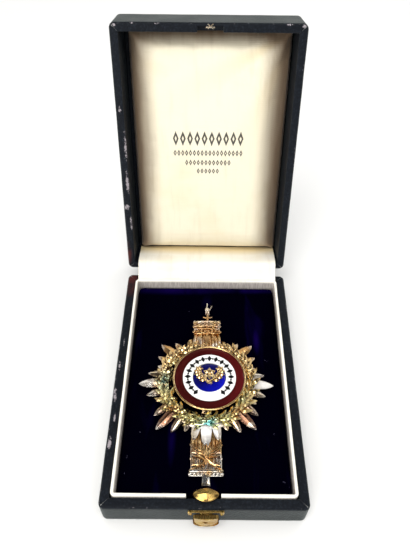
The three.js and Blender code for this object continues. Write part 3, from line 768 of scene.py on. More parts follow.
class BADGE_OT_line_trim(bpy.types.Operator):
    """Fit the ivory liner that stands proud of the base's rim"""

    bl_idname = "badge.line_trim"
    bl_label = "Ivory liner"

    def execute(self, context):
        sizes = context.scene.badge_box_sizes
        wall = sizes.trim_wall
        half = wall / 2
        stations = [(0.0, TRIM_LOW.z), (0.0, (TRIM_LOW.z + TRIM_HIGH.z) / 2), (0.0, TRIM_HIGH.z - half)]
        for part in arc_steps(8)[1:]:
            angle = part * math.pi
            stations.append((half * (1 - math.cos(angle)), TRIM_HIGH.z - half * (1 - math.sin(angle))))
        stations += [(wall, (TRIM_LOW.z + TRIM_HIGH.z) / 2), (wall, TRIM_LOW.z)]
        gap = (sizes.trim_gap_left, sizes.trim_gap_right)
        rings = []
        for inset, height in stations:
            path = liner_path(TRIM_LOW, TRIM_HIGH, inset, *gap, corner=1.8 * MM)
            rings.append(at_height(path, height))
        mesh = loft(rings, closed_rings=False, wraps=True)
        for vertex in mesh.vertices:
            shake = noise.noise(vertex.co * 60.0) * 0.10 * MM + noise.noise(vertex.co * 420.0) * 0.03 * MM
            vertex.co += vertex.normal * shake
        add_piece("ivory_liner", mesh, ivory_finish(), "ivory_board", "base", ["ivory_trim"], angle=50.0)
        return {"FINISHED"}


# Padded linings


def padded_block(low, high, crown, spacing, corner, side_rows=5):
    """A closed block whose top height follows crown(x, y), with upright corners rounded and a UV map."""
    across = max(4, round((high.x - low.x) / spacing))
    along = max(4, round((high.y - low.y) / spacing))
    bm = bmesh.new()
    uv_layer = bm.loops.layers.uv.new("cloth")

    def place(i, j):
        x = low.x + (high.x - low.x) * i / across
        y = low.y + (high.y - low.y) * j / along
        return rounded_place(x, y, low, high, corner)

    top = {}
    bottom = {}
    for i in range(across + 1):
        for j in range(along + 1):
            x, y = place(i, j)
            top[i, j] = bm.verts.new((x, y, crown(x, y)))
            bottom[i, j] = bm.verts.new((x, y, low.z))
    for i in range(across):
        for j in range(along):
            square = [(i, j), (i + 1, j), (i + 1, j + 1), (i, j + 1)]
            bm.faces.new([top[key] for key in square])
            bm.faces.new([bottom[key] for key in square[::-1]])
    path = [(i, 0) for i in range(across)] + [(across, j) for j in range(along)]
    path += [(i, along) for i in range(across, 0, -1)] + [(0, j) for j in range(along, 0, -1)]
    above = [top[key] for key in path]
    for row in range(1, side_rows + 1):
        if row == side_rows:
            below = [bottom[key] for key in path]
        else:
            part = row / side_rows
            below = [bm.verts.new(top[key].co.lerp(bottom[key].co, part)) for key in path]
        for index in range(len(path)):
            following = (index + 1) % len(path)
            bm.faces.new((above[index], below[index], below[following], above[following]))
        above = below
    bmesh.ops.recalc_face_normals(bm, faces=bm.faces)
    bm.normal_update()
    for face in bm.faces:
        for loop in face.loops:
            co = loop.vert.co
            loop[uv_layer].uv = (co.x, co.y) if abs(face.normal.z) > 0.5 else (co.x + co.y, co.z)
    return finished(bm)


def rounded_place(x, y, low, high, corner):
    """Moves a point of a square corner onto a round one."""
    inner_x = clamped(x, low.x + corner, high.x - corner)
    inner_y = clamped(y, low.y + corner, high.y - corner)
    a, b = x - inner_x, y - inner_y
    length = math.hypot(a, b)
    if abs(a) < 1e-9 or abs(b) < 1e-9 or length < 1e-9:
        return x, y
    scale = max(abs(a), abs(b)) / length
    return inner_x + a * scale, inner_y + b * scale


def shoulder(distance, reach, power=2.4):
    """Rises from 0 at a pad's border to 1 at reach from it."""
    return 1 - (1 - clamped(distance / reach)) ** power


CLOTH_SCALE = 10.0
CLOTH_FRAMES = 20


def simulated(mesh, held, cap, pressure, slack):
    """Inflates a pad as cloth, enlarged so that the solver's tolerances fit, and caps how far it moves."""
    before = [vertex.co.copy() for vertex in mesh.vertices]
    big = mesh.copy()
    big.transform(Matrix.Scale(CLOTH_SCALE, 4))
    holder = linked("holder", big)
    pins = holder.vertex_groups.new(name="pins")
    for index, co in enumerate(before):
        if held(co):
            pins.add([index], 1.0, "REPLACE")
    cloth = holder.modifiers.new("cloth", "CLOTH")
    cloth.settings.vertex_group_mass = "pins"
    cloth.settings.use_pressure = True
    cloth.settings.uniform_pressure_force = pressure
    cloth.settings.shrink_min = -slack
    cloth.settings.effector_weights.gravity = 0.0
    cloth.settings.quality = 6
    cloth.collision_settings.use_collision = False
    cloth.point_cache.frame_start = 1
    cloth.point_cache.frame_end = CLOTH_FRAMES
    for step in range(1, CLOTH_FRAMES + 1):
        bpy.context.scene.frame_set(step)
    graph = bpy.context.evaluated_depsgraph_get()
    result = holder.evaluated_get(graph).to_mesh()
    for vertex, moved, start in zip(mesh.vertices, result.vertices, before):
        shift = moved.co / CLOTH_SCALE - start
        if shift.length > cap:
            shift *= cap / shift.length
        vertex.co = start + shift
    holder.evaluated_get(graph).to_mesh_clear()
    bpy.data.objects.remove(holder)
    bpy.context.scene.frame_set(1)
    return mesh


def velvet_finish():
    """Deep blue pile with streaks of painted sheen where it is brushed both ways, and lint."""
    colours = bpy.context.scene.badge_box_colours
    finish = Finish("velvet")
    stretched = finish.vector("MULTIPLY", finish.place, (1.0, 0.22, 1.0))
    streaks = finish.noise(stretched, 85.0, detail=3.0, distortion=0.6)
    pile = finish.noise(finish.place, 3600.0, detail=2.0)
    # Lighter blue streaks across the pile: painted sheen.
    brushed = finish.times(finish.span(streaks, 0.56, 0.80), 0.35)
    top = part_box("velvet_pad")[1].z
    # More painted sheen: a streak on each side and two bands along the back.
    marks = [
        (-13.6, -29.0, 2.2, 14.0), (24.0, 20.0, 2.4, 10.0),
        (-15.0, 50.8, 34.0, 4.2), (19.0, 51.2, 28.0, 3.4),
    ]
    for x, y, wide, long in marks:
        spot = finish.patch((*mm(x, y), top), mm(wide, long, 20))
        brushed = finish.most(brushed, finish.times(spot, finish.span(streaks, 0.2, 0.6)))
    brushed = finish.times(brushed, finish.span(pile, 0.2, 0.8, 0.5, 1.2))
    lint = finish.group("specks", {"Vector": finish.place, "Scale": 170.0, "Size": 0.05})["Mask"]
    nap = finish.mix(finish.times(brushed, 0.88), colours.velvet, colours.velvet_sheen)
    return finish.surface({
        "Base Color": finish.mix(finish.times(lint, 0.25), nap, (0.30, 0.30, 0.36)),
        "Roughness": finish.span(pile, 0.3, 0.7, 0.85, 1.0),
        "Specular IOR Level": 0.0,
        "Normal": finish.bump(pile, 0.00012),
    })


class BADGE_OT_pad_velvet(bpy.types.Operator):
    """Pad the base with velvet"""

    bl_idname = "badge.pad_velvet"
    bl_label = "Velvet pad"

    def execute(self, context):
        low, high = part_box("velvet_pad")
        border = 0.7 * MM
        crown_height = high.z - 0.15 * MM

        def crown(x, y):
            side = shoulder(min(x - low.x, high.x - x) + 0.15 * MM, 3.2 * MM)
            end = shoulder(min(y - low.y, high.y - y) + 0.15 * MM, 3.2 * MM)
            wave = 0.10 * MM * noise.noise(Vector((x * 70, y * 70, 0.3)))
            return crown_height - border + border * side * end + wave

        mesh = padded_block(low, high, crown, 1.5 * MM, corner=2.5 * MM)
        floor = low.z + 2.5 * MM
        mesh = simulated(mesh, lambda co: co.z < floor, cap=0.15 * MM, pressure=3.0, slack=0.0)
        for vertex in mesh.vertices:
            vertex.co.x = clamped(vertex.co.x, low.x - 0.1 * MM, high.x + 0.1 * MM)
            vertex.co.y = clamped(vertex.co.y, low.y - 0.1 * MM, high.y + 0.1 * MM)
            vertex.co.z = min(vertex.co.z, high.z)
        mesh = modified(mesh, "SUBSURF", levels=1, render_levels=1)
        piece = add_piece("velvet", mesh, velvet_finish(), "velvet", "base", ["velvet_pad"], angle=80.0)
        return {"FINISHED"}


def satin_finish(name, fabric, printed):
    """Aged satin with a fine rib, with painted shade along the pad's borders and in its folds. printed adds
    plain ornaments in the middle of the pad.
    """
    colours = bpy.context.scene.badge_box_colours
    finish = Finish(name)
    uv = finish.uv()
    weave = finish.group("weave", {"Vector": uv, "Threads": 1900.0})
    cloud = finish.noise(finish.place, 42.0, detail=3.0)
    # Yellower where the cloth clouds, and yellower and darker in folds and the gusset's crease, which is
    # painted shade.
    fold = finish.attribute("fold")
    yellowing_and_fold_shade = finish.most(finish.times(finish.span(cloud, 0.50, 0.72), 0.22), fold)
    cloth = finish.mix(yellowing_and_fold_shade, fabric, colours.satin_fold_shade)
    cloth = finish.mix(finish.span(weave["Slub"], 0.50, 0.80, 0.0, 0.30), cloth, (0.62, 0.52, 0.36))
    # Darker and browner towards the pad's borders: painted shade, made uneven by the slubs.
    uneven = finish.times_plus(finish.minus(weave["Slub"], 0.5), 0.35, finish.attribute("shade"))
    shaded = finish.times(finish.attribute("shade"), uneven, clamp=True)
    cloth = finish.mix(shaded, cloth, colours.satin_shade)
    if printed:
        cloth = finish.mix(finish.times(ornament_mask(finish, uv), 0.97), cloth, colours.print_ink)
    height = finish.times_plus(weave["Slub"], 1.5, weave["Height"])
    return finish.surface({
        "Base Color": cloth,
        "Roughness": finish.span(weave["Slub"], 0.3, 0.7, 0.38, 0.50),
        "Sheen Weight": 0.15,
        "Sheen Roughness": 0.3,
        "Anisotropic": 0.5,
        "Normal": finish.bump(height, 0.000035),
    })


def ornament_mask(finish, uv):
    """Rows of plain lozenges and dots, each row shorter than the one above."""
    axes = finish.axes(uv)
    mask = None
    rows = [(69.2, 16.2, 3.3, 3.3), (62.3, 16.4, 1.8, 1.5), (57.6, 10.6, 1.8, 1.4), (53.4, 5.6, 1.8, 1.3)]
    for height, half_width, pitch, half_height in rows:
        x = finish.math("DIVIDE", finish.minus(axes["X"], 0.3 * MM), pitch * MM)
        y = finish.math("DIVIDE", finish.minus(axes["Y"], height * MM), half_height * MM)
        wobble = finish.times(finish.noise(uv, 700.0, detail=2.0), 0.25)
        cell = finish.absolute(finish.minus(finish.math("FRACT", x), 0.5))
        lozenge = finish.plus(finish.times(cell, 2.6), finish.absolute(y))
        rim = finish.absolute(finish.minus(finish.plus(lozenge, wobble), 0.85))
        line = finish.span(rim, 0.24, 0.42, 1.0, 0.0)
        edge = finish.times(finish.absolute(x), pitch)
        row = finish.times(line, finish.math("LESS_THAN", edge, half_width))
        mask = row if mask is None else finish.most(mask, row)
    return mask


def pucker(x, y, low, high):
    """Height of the creases that run from a pad's corners, and how deep in a fold the point is, which sets
    the painted shade in the fold.
    """
    height = 0.0
    depth = 0.0
    corners = [
        (high.x, high.y, 1.25, 20.0, 0.2), (low.x, high.y, 0.4, 10.0, 0.6),
        (high.x, low.y, 0.8, 9.0, 1.1), (low.x, low.y, 0.6, 9.0, 2.0),
    ]
    for corner_x, corner_y, strength, reach, phase in corners:
        dx, dy = abs(x - corner_x), abs(y - corner_y)
        distance = math.hypot(dx, dy)
        angle = math.atan2(dy, dx + 1e-9)
        fade = math.exp(-distance / (reach * MM)) * min(1.0, distance / (2.0 * MM))
        wave = math.sin(angle * 9.0 + phase)
        height += 0.45 * MM * strength * fade * wave
        depth = max(depth, 0.8 * fade * strength * max(0.0, -wave))
    return height, depth


def border_shade(co, low, high):
    """How much painted shade the satin gets: most along the pad's sides and head, not at its foot."""
    drift = 1.2 * MM * noise.noise(Vector((co.x * 60, co.y * 40, 5.2)))
    clear = 1.0
    for distance, start, end in (
        (co.x - low.x, 1.2, 14.0), (high.x - co.x, 2.0, 15.5),
        (high.y - co.y, 0.8, 7.5), (co.y - low.y, -3.0, 1.0),
    ):
        part = clamped((distance + drift - start * MM) / ((end - start) * MM))
        clear *= part * part * (3 - 2 * part)
    return math.sqrt(1.0 - clear)


class BADGE_OT_pad_satin(bpy.types.Operator):
    """Pad the lid with satin"""

    bl_idname = "badge.pad_satin"
    bl_label = "Satin pad"

    def execute(self, context):
        sizes = context.scene.badge_box_sizes
        low, high = box_in("satin_pad", LID_PLACE)
        rim = LID_HIGH.z
        crown_height = rim - sizes.satin_crown - 0.5 * MM
        border_height = rim - sizes.satin_edge

        def crown(x, y):
            side = shoulder(min(x - low.x, high.x - x), 13.0 * MM)
            end = shoulder(high.y - y, 9.0 * MM) * shoulder(y - low.y, 14.0 * MM, 1.8)
            return border_height + (crown_height - border_height) * side * end

        mesh = padded_block(low, high, crown, 1.5 * MM, corner=2.0 * MM, side_rows=4)
        floor = low.z + 2.2 * MM
        mesh = simulated(mesh, lambda co: co.z < floor, cap=0.9 * MM, pressure=3.0, slack=0.015)
        top = border_height - 1.5 * MM
        # Fold depth and nearness to the borders, which the satin turns into painted shade.
        folds, shades = [], []
        for vertex in mesh.vertices:
            co = vertex.co
            depth = 0.0
            if co.z > top:
                lift, depth = pucker(co.x, co.y, low, high)
                ripple = 0.22 * MM * noise.noise(Vector((co.x * 55, co.y * 34, 1.7)))
                co.z += lift + ripple
            folds.append(min(1.0, depth))
            shades.append(border_shade(co, low, high))
            co.x = clamped(co.x, low.x, high.x)
            co.y = clamped(co.y, low.y, high.y)
            co.z = min(co.z, rim - sizes.satin_crown + 0.3 * MM)
        mark(mesh, "fold", folds)
        mark(mesh, "shade", shades)
        mesh = modified(mesh, "SUBSURF", levels=1, render_levels=1)
        mesh.transform(LID_PLACE)
        finish = satin_finish("printed_satin", context.scene.badge_box_colours.satin, True)
        piece = add_piece("satin_cushion", mesh, finish, "satin", "lid", ["satin_pad"], angle=80.0)
        return {"FINISHED"}


class BADGE_OT_hang_gusset(bpy.types.Operator):
    """Hang the strip of satin that crosses the hinge"""

    bl_idname = "badge.hang_gusset"
    bl_label = "Satin gusset"

    def execute(self, context):
        sizes = context.scene.badge_box_sizes
        low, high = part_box("satin_gusset")
        pad_foot = box_in("satin_pad", LID_PLACE)[0].y
        start = Vector((0, TRIM_HIGH.y + 0.25 * MM, BASE_HIGH.z + 0.25 * MM))
        bend = LID_PLACE @ Vector((0, pad_foot - 0.62 * MM, LID_HIGH.z - 0.12 * MM))
        end = LID_PLACE @ Vector((0, pad_foot - 0.55 * MM, LID_HIGH.z - sizes.satin_edge - 1.8 * MM))
        route = [start, start + Vector((0, 3.4, 2.2)) * MM, bend, end]
        knots = smooth_route(route, 36)
        columns = 90
        bm = bmesh.new()
        uv_layer = bm.loops.layers.uv.new("cloth")
        rows = []
        travelled = 0.0
        distances = []
        for index, knot in enumerate(knots):
            travelled += (knot - knots[index - 1]).length if index else 0.0
            distances.append(travelled)
            row = []
            for column in range(columns + 1):
                x = low.x + (high.x - low.x) * column / columns
                part = index / (len(knots) - 1)
                free = math.sin(math.pi * part)
                wave = noise.noise(Vector((x * 70, part * 1.6, 4.1)))
                fine = noise.noise(Vector((x * 260, part * 2.0, 8.8)))
                lift = (0.55 * wave + 0.16 * fine) * free * MM
                sag = -0.5 * MM * free * math.sin(math.pi * column / columns)
                row.append(bm.verts.new((x, knot.y, knot.z + lift + sag)))
            rows.append(row)
        for index in range(len(rows) - 1):
            for column in range(columns):
                face = bm.faces.new((
                    rows[index][column], rows[index][column + 1],
                    rows[index + 1][column + 1], rows[index + 1][column],
                ))
                for loop, (r, c) in zip(face.loops, ((0, 0), (0, 1), (1, 1), (1, 0))):
                    loop[uv_layer].uv = (rows[0][column + c].co.x, distances[index + r])
        mesh = bpy.data.meshes.new("gusset")
        bm.to_mesh(mesh)
        bm.free()
        parts = [index // (columns + 1) / (len(knots) - 1) for index in range(len(mesh.vertices))]
        # The part that dives into the crease by the pad gets painted shade, yellower and darker.
        mark(mesh, "fold", [0.85 * clamped((part - 0.64) / 0.22) for part in parts])
        mesh = modified(mesh, "SOLIDIFY", thickness=0.22 * MM, offset=0.0)
        finish = satin_finish("gusset_satin", context.scene.badge_box_colours.gusset, False)
        piece = add_piece("hinge_satin", mesh, finish, "satin", None, ["satin_gusset"], angle=80.0)
        tuple(route[1])
        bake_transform(piece)
        return {"FINISHED"}


def smooth_route(points, steps):
    """Evenly spaced points on a smooth curve through these."""
    dense = []
    padded = [points[0] * 2 - points[1], *points, points[-1] * 2 - points[-2]]
    for before, start, end, after in zip(padded, padded[1:], padded[2:], padded[3:]):
        for index in range(24):
            t = index / 24
            dense.append(0.5 * (
                2 * start + (end - before) * t + (2 * before - 5 * start + 4 * end - after) * t * t
                + (3 * start - before - 3 * end + after) * t ** 3
            ))
    dense.append(points[-1])
    lengths = [0.0]
    for near, far in zip(dense, dense[1:]):
        lengths.append(lengths[-1] + (far - near).length)
    result = []
    at = 0
    for index in range(steps + 1):
        target = lengths[-1] * index / steps
        while at < len(lengths) - 2 and lengths[at + 1] < target:
            at += 1
        part = (target - lengths[at]) / max(lengths[at + 1] - lengths[at], 1e-12)
        result.append(dense[at].lerp(dense[at + 1], min(part, 1.0)))
    return result


# Geometry trees that repeat, scatter and draw


def geometry_tree(name, inputs):
    """An empty geometry tree: its nodes, its incoming sockets and a function that ends it."""
    tree = bpy.data.node_groups.new(name, "GeometryNodeTree")
    add_sockets(tree, "INPUT", [("Geometry", "Geometry"), *inputs, ("Material", "Material")])
    add_sockets(tree, "OUTPUT", [("Geometry", "Geometry")])
    nodes = Nodes(tree)
    start = nodes.add("NodeGroupInput").outputs
    end = nodes.add("NodeGroupOutput").inputs

    def close(geometry):
        real = nodes.add("GeometryNodeRealizeInstances", {"Geometry": geometry}).outputs[0]
        painted = nodes.add("GeometryNodeSetMaterial", {"Geometry": real, "Material": start["Material"]})
        nodes.feed(end[0], painted.outputs[0])

    return nodes, start, close


def random_between(nodes, low, high, seed, kind="FLOAT"):
    """A random number or vector for each element."""
    node = nodes.add("FunctionNodeRandomValue", data_type=kind)
    offset = 0 if kind == "FLOAT_VECTOR" else 2
    nodes.feed(node.inputs[offset], low)
    nodes.feed(node.inputs[offset + 1], high)
    nodes.feed(node.inputs["Seed"], seed)
    return node.outputs[0 if kind == "FLOAT_VECTOR" else 1]


def make_repeat_tree():
    """Repeats the incoming shape round a circle, along a row, or both, with a little unevenness."""
    inputs = [
        ("Count", "Int", 8), ("Centre", "Vector", (0.0, 0.0, 0.0)), ("Radius", "Float", 0.0),
        ("First Angle", "Float", 0.0), ("Step Angle", "Float", 0.0), ("Step", "Vector", (0.0, 0.0, 0.0)),
        ("Tilt", "Float", 0.0), ("Size Spread", "Float", 0.0), ("Seed", "Int", 1),
    ]
    nodes, start, close = geometry_tree("repeat", inputs)
    index = nodes.add("GeometryNodeInputIndex").outputs[0]
    angle = nodes.times_plus(index, start["Step Angle"], start["First Angle"])
    direction = nodes.add("ShaderNodeCombineXYZ", {
        "X": nodes.math("COSINE", angle), "Y": nodes.sine(angle),
    }).outputs[0]
    outward, along = (
        nodes.add("ShaderNodeVectorMath", {"Vector": vector, "Scale": scale}, operation="SCALE").outputs[0]
        for vector, scale in ((direction, start["Radius"]), (start["Step"], index))
    )
    place = nodes.vector("ADD", nodes.vector("ADD", outward, along), start["Centre"])
    points = nodes.add("GeometryNodePoints", {"Count": start["Count"], "Position": place}).outputs[0]
    lean = nodes.times(start["Tilt"], -1.0)
    tilt_x = random_between(nodes, lean, start["Tilt"], start["Seed"])
    tilt_y = random_between(nodes, lean, start["Tilt"], nodes.plus(start["Seed"], 7.0))
    turn = nodes.add("ShaderNodeCombineXYZ", {"X": tilt_x, "Y": tilt_y, "Z": angle}).outputs[0]
    small = nodes.minus(1.0, start["Size Spread"])
    large = nodes.plus(1.0, start["Size Spread"])
    size = random_between(nodes, small, large, nodes.plus(start["Seed"], 13.0))
    instances = nodes.add("GeometryNodeInstanceOnPoints", {
        "Points": points, "Instance": start["Geometry"],
        "Rotation": nodes.add("FunctionNodeEulerToRotation", {0: turn}).outputs[0], "Scale": size,
    }).outputs[0]
    close(instances)


def make_scatter_tree():
    """Scatters a small shape over the incoming surface, turned every way."""
    inputs = [("Shape", "Object"), ("Density", "Float", 1000.0), ("Lift", "Float", 0.0), ("Seed", "Int", 1)]
    nodes, start, close = geometry_tree("scatter", inputs)
    spread = nodes.add("GeometryNodeDistributePointsOnFaces", {
        "Mesh": start["Geometry"], "Density": start["Density"], "Seed": start["Seed"],
    })
    lift = nodes.add("ShaderNodeCombineXYZ", {"Z": start["Lift"]}).outputs[0]
    raised = nodes.add("GeometryNodeSetPosition", {
        "Geometry": spread.outputs[0], "Offset": lift,
    }).outputs[0]
    shape = nodes.add("GeometryNodeObjectInfo", {"Object": start["Shape"]}).outputs["Geometry"]
    turn = random_between(nodes, (-0.25, -0.25, 0.0), (0.25, 0.25, TURN), start["Seed"], "FLOAT_VECTOR")
    size = random_between(nodes, 0.4, 1.3, nodes.plus(start["Seed"], 3.0))
    close(nodes.add("GeometryNodeInstanceOnPoints", {
        "Points": raised, "Instance": shape,
        "Rotation": nodes.add("FunctionNodeEulerToRotation", {0: turn}).outputs[0], "Scale": size,
    }).outputs[0])


def make_wire_tree():
    """Draws round wire along the incoming edges, as thick as their thick attribute says."""
    nodes, start, close = geometry_tree("wire", [("Sides", "Int", 10)])
    thick = nodes.add("GeometryNodeInputNamedAttribute", {"Name": "thick"}, data_type="FLOAT").outputs[0]
    curve = nodes.add("GeometryNodeMeshToCurve", {"Mesh": start["Geometry"]}).outputs[0]
    section = nodes.add("GeometryNodeCurvePrimitiveCircle", {"Resolution": start["Sides"], "Radius": 1.0})
    close(nodes.add("GeometryNodeCurveToMesh", {
        "Curve": curve, "Profile Curve": section.outputs[0], "Scale": thick, "Fill Caps": True,
    }).outputs[0])


def grown(start, tree_name, values, material):
    """The plain mesh that a geometry tree makes from a start mesh."""
    tree = bpy.data.node_groups[tree_name]
    holder = linked("holder", start)
    modifier = holder.modifiers.new("grow", "NODES")
    modifier.node_group = tree
    given = {**values, "Material": material}
    for item in tree.interface.items_tree:
        if item.in_out == "INPUT" and item.name in given:
            modifier[item.identifier] = given[item.name]
    return baked(holder)


def wires(routes, material, sides=10):
    """Round wires: each route is a list of (point, radius)."""
    vertices = [point for route in routes for point, radius in route]
    edges = []
    at = 0
    for route in routes:
        edges += [(at + index, at + index + 1) for index in range(len(route) - 1)]
        at += len(route)
    start = bpy.data.meshes.new("routes")
    start.from_pydata(vertices, edges, [])
    attribute = start.attributes.new("thick", "FLOAT", "POINT")
    attribute.data.foreach_set("value", [radius for route in routes for point, radius in route])
    return grown(start, "wire", {"Sides": sides}, material)


# Small shapes of the badge


def on_badge(x, y, z=0.0):
    """A point of the badge in metres from millimetres, x from the star's middle line."""
    return Vector((STAR_CENTRE_X + x * MM, y * MM, z * MM))


def bead_mesh(radius, squash=1.0, detail=2):
    bm = bmesh.new()
    bmesh.ops.create_icosphere(bm, subdivisions=detail, radius=radius)
    bmesh.ops.scale(bm, vec=(1, 1, squash), verts=bm.verts)
    return finished(bm)


def leaf_mesh(length, width, arch, fold, rows=7, columns=4, thickness=0.00022, blunt=0.85):
    """A pointed leaf along +Y from its stalk: arched along its length, ridged along its rib, and closed."""
    bm = bmesh.new()
    top = []
    bottom = []
    for row in range(rows + 1):
        part = row / rows
        half = width / 2 * math.sin(math.pi * part ** blunt) ** 0.9 if 0 < row < rows else 0.0
        line_top = []
        line_bottom = []
        for column in range(columns + 1):
            across = 2 * column / columns - 1
            height = arch * math.sin(math.pi * part) + fold * (1 - abs(across)) * math.sin(math.pi * part)
            point = Vector((half * across, length * part, height))
            line_top.append(bm.verts.new(point))
            line_bottom.append(bm.verts.new(point - Vector((0, 0, thickness))))
        top.append(line_top)
        bottom.append(line_bottom)
    for row in range(rows):
        for column in range(columns):
            cells = ((row, column), (row, column + 1), (row + 1, column + 1), (row + 1, column))
            bm.faces.new([top[r][c] for r, c in cells])
            bm.faces.new([bottom[r][c] for r, c in cells[::-1]])
        for column in (0, columns):
            sides = (top[row], top[row + 1], bottom[row + 1], bottom[row])
            bm.faces.new([side[column] for side in sides])
    bmesh.ops.remove_doubles(bm, verts=bm.verts, dist=2e-6)
    bmesh.ops.dissolve_degenerate(bm, edges=bm.edges, dist=1e-7)
    return finished(bm)


def placed(mesh, x=0.0, y=0.0, z=0.0, turn=0.0, lean=0.0, scale=1.0):
    """A copy of a mesh, leaned about X, turned about Z and moved, in metres."""
    copy = mesh.copy()
    rotation = Euler((lean, 0, turn)).to_matrix().to_4x4()
    copy.transform(Matrix.Translation((x, y, z)) @ rotation @ Matrix.Scale(scale, 4))
    return copy


def bar_mesh(low, high, bevel):
    """A closed bar between two corners with rounded edges."""
    bm = bmesh.new()
    bmesh.ops.create_cube(bm, size=1.0)
    size = high - low
    for vertex in bm.verts:
        vertex.co = (low + high) / 2 + Vector([vertex.co[axis] * size[axis] for axis in range(3)])
    bmesh.ops.bevel(bm, geom=bm.edges[:], offset=bevel, segments=3, profile=0.5, affect="EDGES")
    return finished(bm)


def torus_mesh(radius, tube, around=20, section=8):
    """A small closed ring in the XY plane."""
    rings = []
    for index in range(around):
        angle = TURN * index / around
        out = Vector((math.cos(angle), math.sin(angle), 0))
        ring = []
        for part in range(section):
            turn = TURN * part / section
            ring.append(out * (radius + tube * math.cos(turn)) + Vector((0, 0, tube * math.sin(turn))))
        rings.append(ring)
    return loft(rings, wraps=True)


def ray_mesh(root, tip, width, height):
    """One cut ray along +X: a ridge with two facets on each side, blunt at its tip, closed underneath."""
    length = tip - root
    stations = [
        (0.0, 0.62, 0.55), (0.36, 1.0, 1.0), (0.70, 0.80, 0.74), (0.90, 0.42, 0.40), (1.0, 0.05, 0.10),
    ]
    rings = []
    for part, wide, tall in stations:
        half = width / 2 * wide
        peak = height * tall
        x = root + length * part
        drop = (1.5 - 1.5 * part) * MM
        section = [(-half, -0.25), (-half, 0.12), (-0.5 * half, 0.70), (0.0, 1.0)]
        section += [(0.5 * half, 0.70), (half, 0.12), (half, -0.25)]
        rings.append([Vector((x, y, drop + (z * peak if z > 0 else z * MM))) for y, z in section])
    return loft(rings)


# Finishes of the badge


def plated(name, warm, pale, centre, reach, tint=None, tint_amount=0.0, rough=(0.14, 0.32), grime=0.75,
           patches=(), painted_highlights=(), floor=None):
    """Silver gilt: warm near centre and pale beyond reach, tinted in clouds, dark in its hollows.

    patches are (centre, size, colour, amount). The places of painted highlight are (centre, size, amount):
    there the metal is painted white and made less metallic. Below the height floor the metal is darkened as
    painted shade.
    """
    finish = Finish(name)
    clouds = finish.group("tarnish", {"Vector": finish.place, "Scale": 190.0})
    offset = finish.vector("SUBTRACT", finish.place, tuple(centre))
    distance = finish.vector("LENGTH", offset, output="Value")
    bare = finish.span(finish.times_plus(clouds["Cloud"], 4 * MM, distance), reach[0], reach[1])
    base = finish.mix(bare, warm, pale)
    if tint is not None:
        spread = finish.noise(finish.place, 330.0, detail=2.0)
        spots = finish.span(spread, 0.50, 0.62)
        base = finish.mix(finish.times(spots, tint_amount), base, tint)
    for place, size, colour_there, amount in patches:
        there = finish.times(finish.patch(place, size), amount)
        there = finish.times(there, finish.span(clouds["Cloud"], 0.0, 0.5, 0.4, 1.0))
        base = finish.mix(there, base, colour_there)
    # Places painted white and made less metallic: painted highlights.
    highlight_mask = 0.0
    for place, size, amount in painted_highlights:
        there = finish.times(finish.patch(place, size), amount, clamp=True)
        highlight_mask = finish.most(highlight_mask, there)
    base = finish.mix(highlight_mask, base, (1.0, 0.99, 0.97))
    hollow = finish.span(finish.add("ShaderNodeNewGeometry").outputs["Pointiness"], 0.40, 0.485, 1.0, 0.0)
    dirt = finish.times(hollow, grime)
    # Darker towards the bottom, below floor plus 1.1 mm: painted shade between the parts.
    if floor is not None:
        sunk = finish.span(finish.axes(finish.place)["Z"], floor, floor + 1.1 * MM, 0.9, 0.0)
        dirt = finish.most(dirt, sunk)
    dirt = finish.most(dirt, finish.times(clouds["Fleck"], 0.16))
    return finish.surface({
        "Base Color": finish.mix(dirt, base, (0.045, 0.022, 0.010)),
        "Metallic": finish.times_plus(highlight_mask, -0.9, 1.0) if painted_highlights else 1.0,
        "Roughness": finish.times_plus(clouds["Fleck"], rough[1] - rough[0], rough[0]),
        "Normal": finish.bump(clouds["Fleck"], 0.00002),
    })


def guilloche_enamel(name, deep, bright, spokes, ripples, metal, light_side):
    """Translucent enamel over radial engine turning, under a clear polished coat."""
    finish = Finish(name)
    offset = finish.axes(finish.vector("SUBTRACT", finish.place, tuple(MEDAL_CENTRE)))
    angle = finish.math("ARCTAN2", offset["Y"], offset["X"])
    square = finish.times(offset["X"], offset["X"])
    radius = finish.math("SQRT", finish.times_plus(offset["Y"], offset["Y"], square))
    wave = finish.sine(finish.times(radius, ripples))
    cut = finish.sine(finish.times_plus(angle, spokes, finish.times(wave, 1.6)))
    side = finish.math("COSINE", finish.minus(angle, light_side))
    lit = finish.times_plus(finish.span(side, -0.4, 1.0), 0.75, finish.times(cut, 0.38))
    flaws = finish.noise(finish.place, 800.0, detail=3.0)
    return finish.surface({
        "Base Color": finish.mix(finish.most(lit, 0.0), deep, bright),
        "Metallic": metal,
        "Roughness": finish.span(flaws, 0.3, 0.7, 0.30, 0.38),
        "Coat Weight": 0.28,
        "Coat Roughness": 0.03,
        "Specular IOR Level": 0.15,
        "Normal": finish.bump(cut, 0.00006),
    })


def plain_enamel(name, base, shade):
    """Opaque enamel with the faint unevenness of a fired surface."""
    finish = Finish(name)
    cloud = finish.noise(finish.place, 260.0, detail=3.0)
    pits = finish.group("specks", {"Vector": finish.place, "Scale": 900.0, "Size": 0.08})["Mask"]
    return finish.surface({
        "Base Color": finish.mix(finish.span(cloud, 0.3, 0.8), base, shade),
        "Roughness": finish.times_plus(pits, 0.2, 0.22),
        "Coat Weight": 0.8,
        "Coat Roughness": 0.05,
        "Normal": finish.bump(cloud, 0.00006),
    })


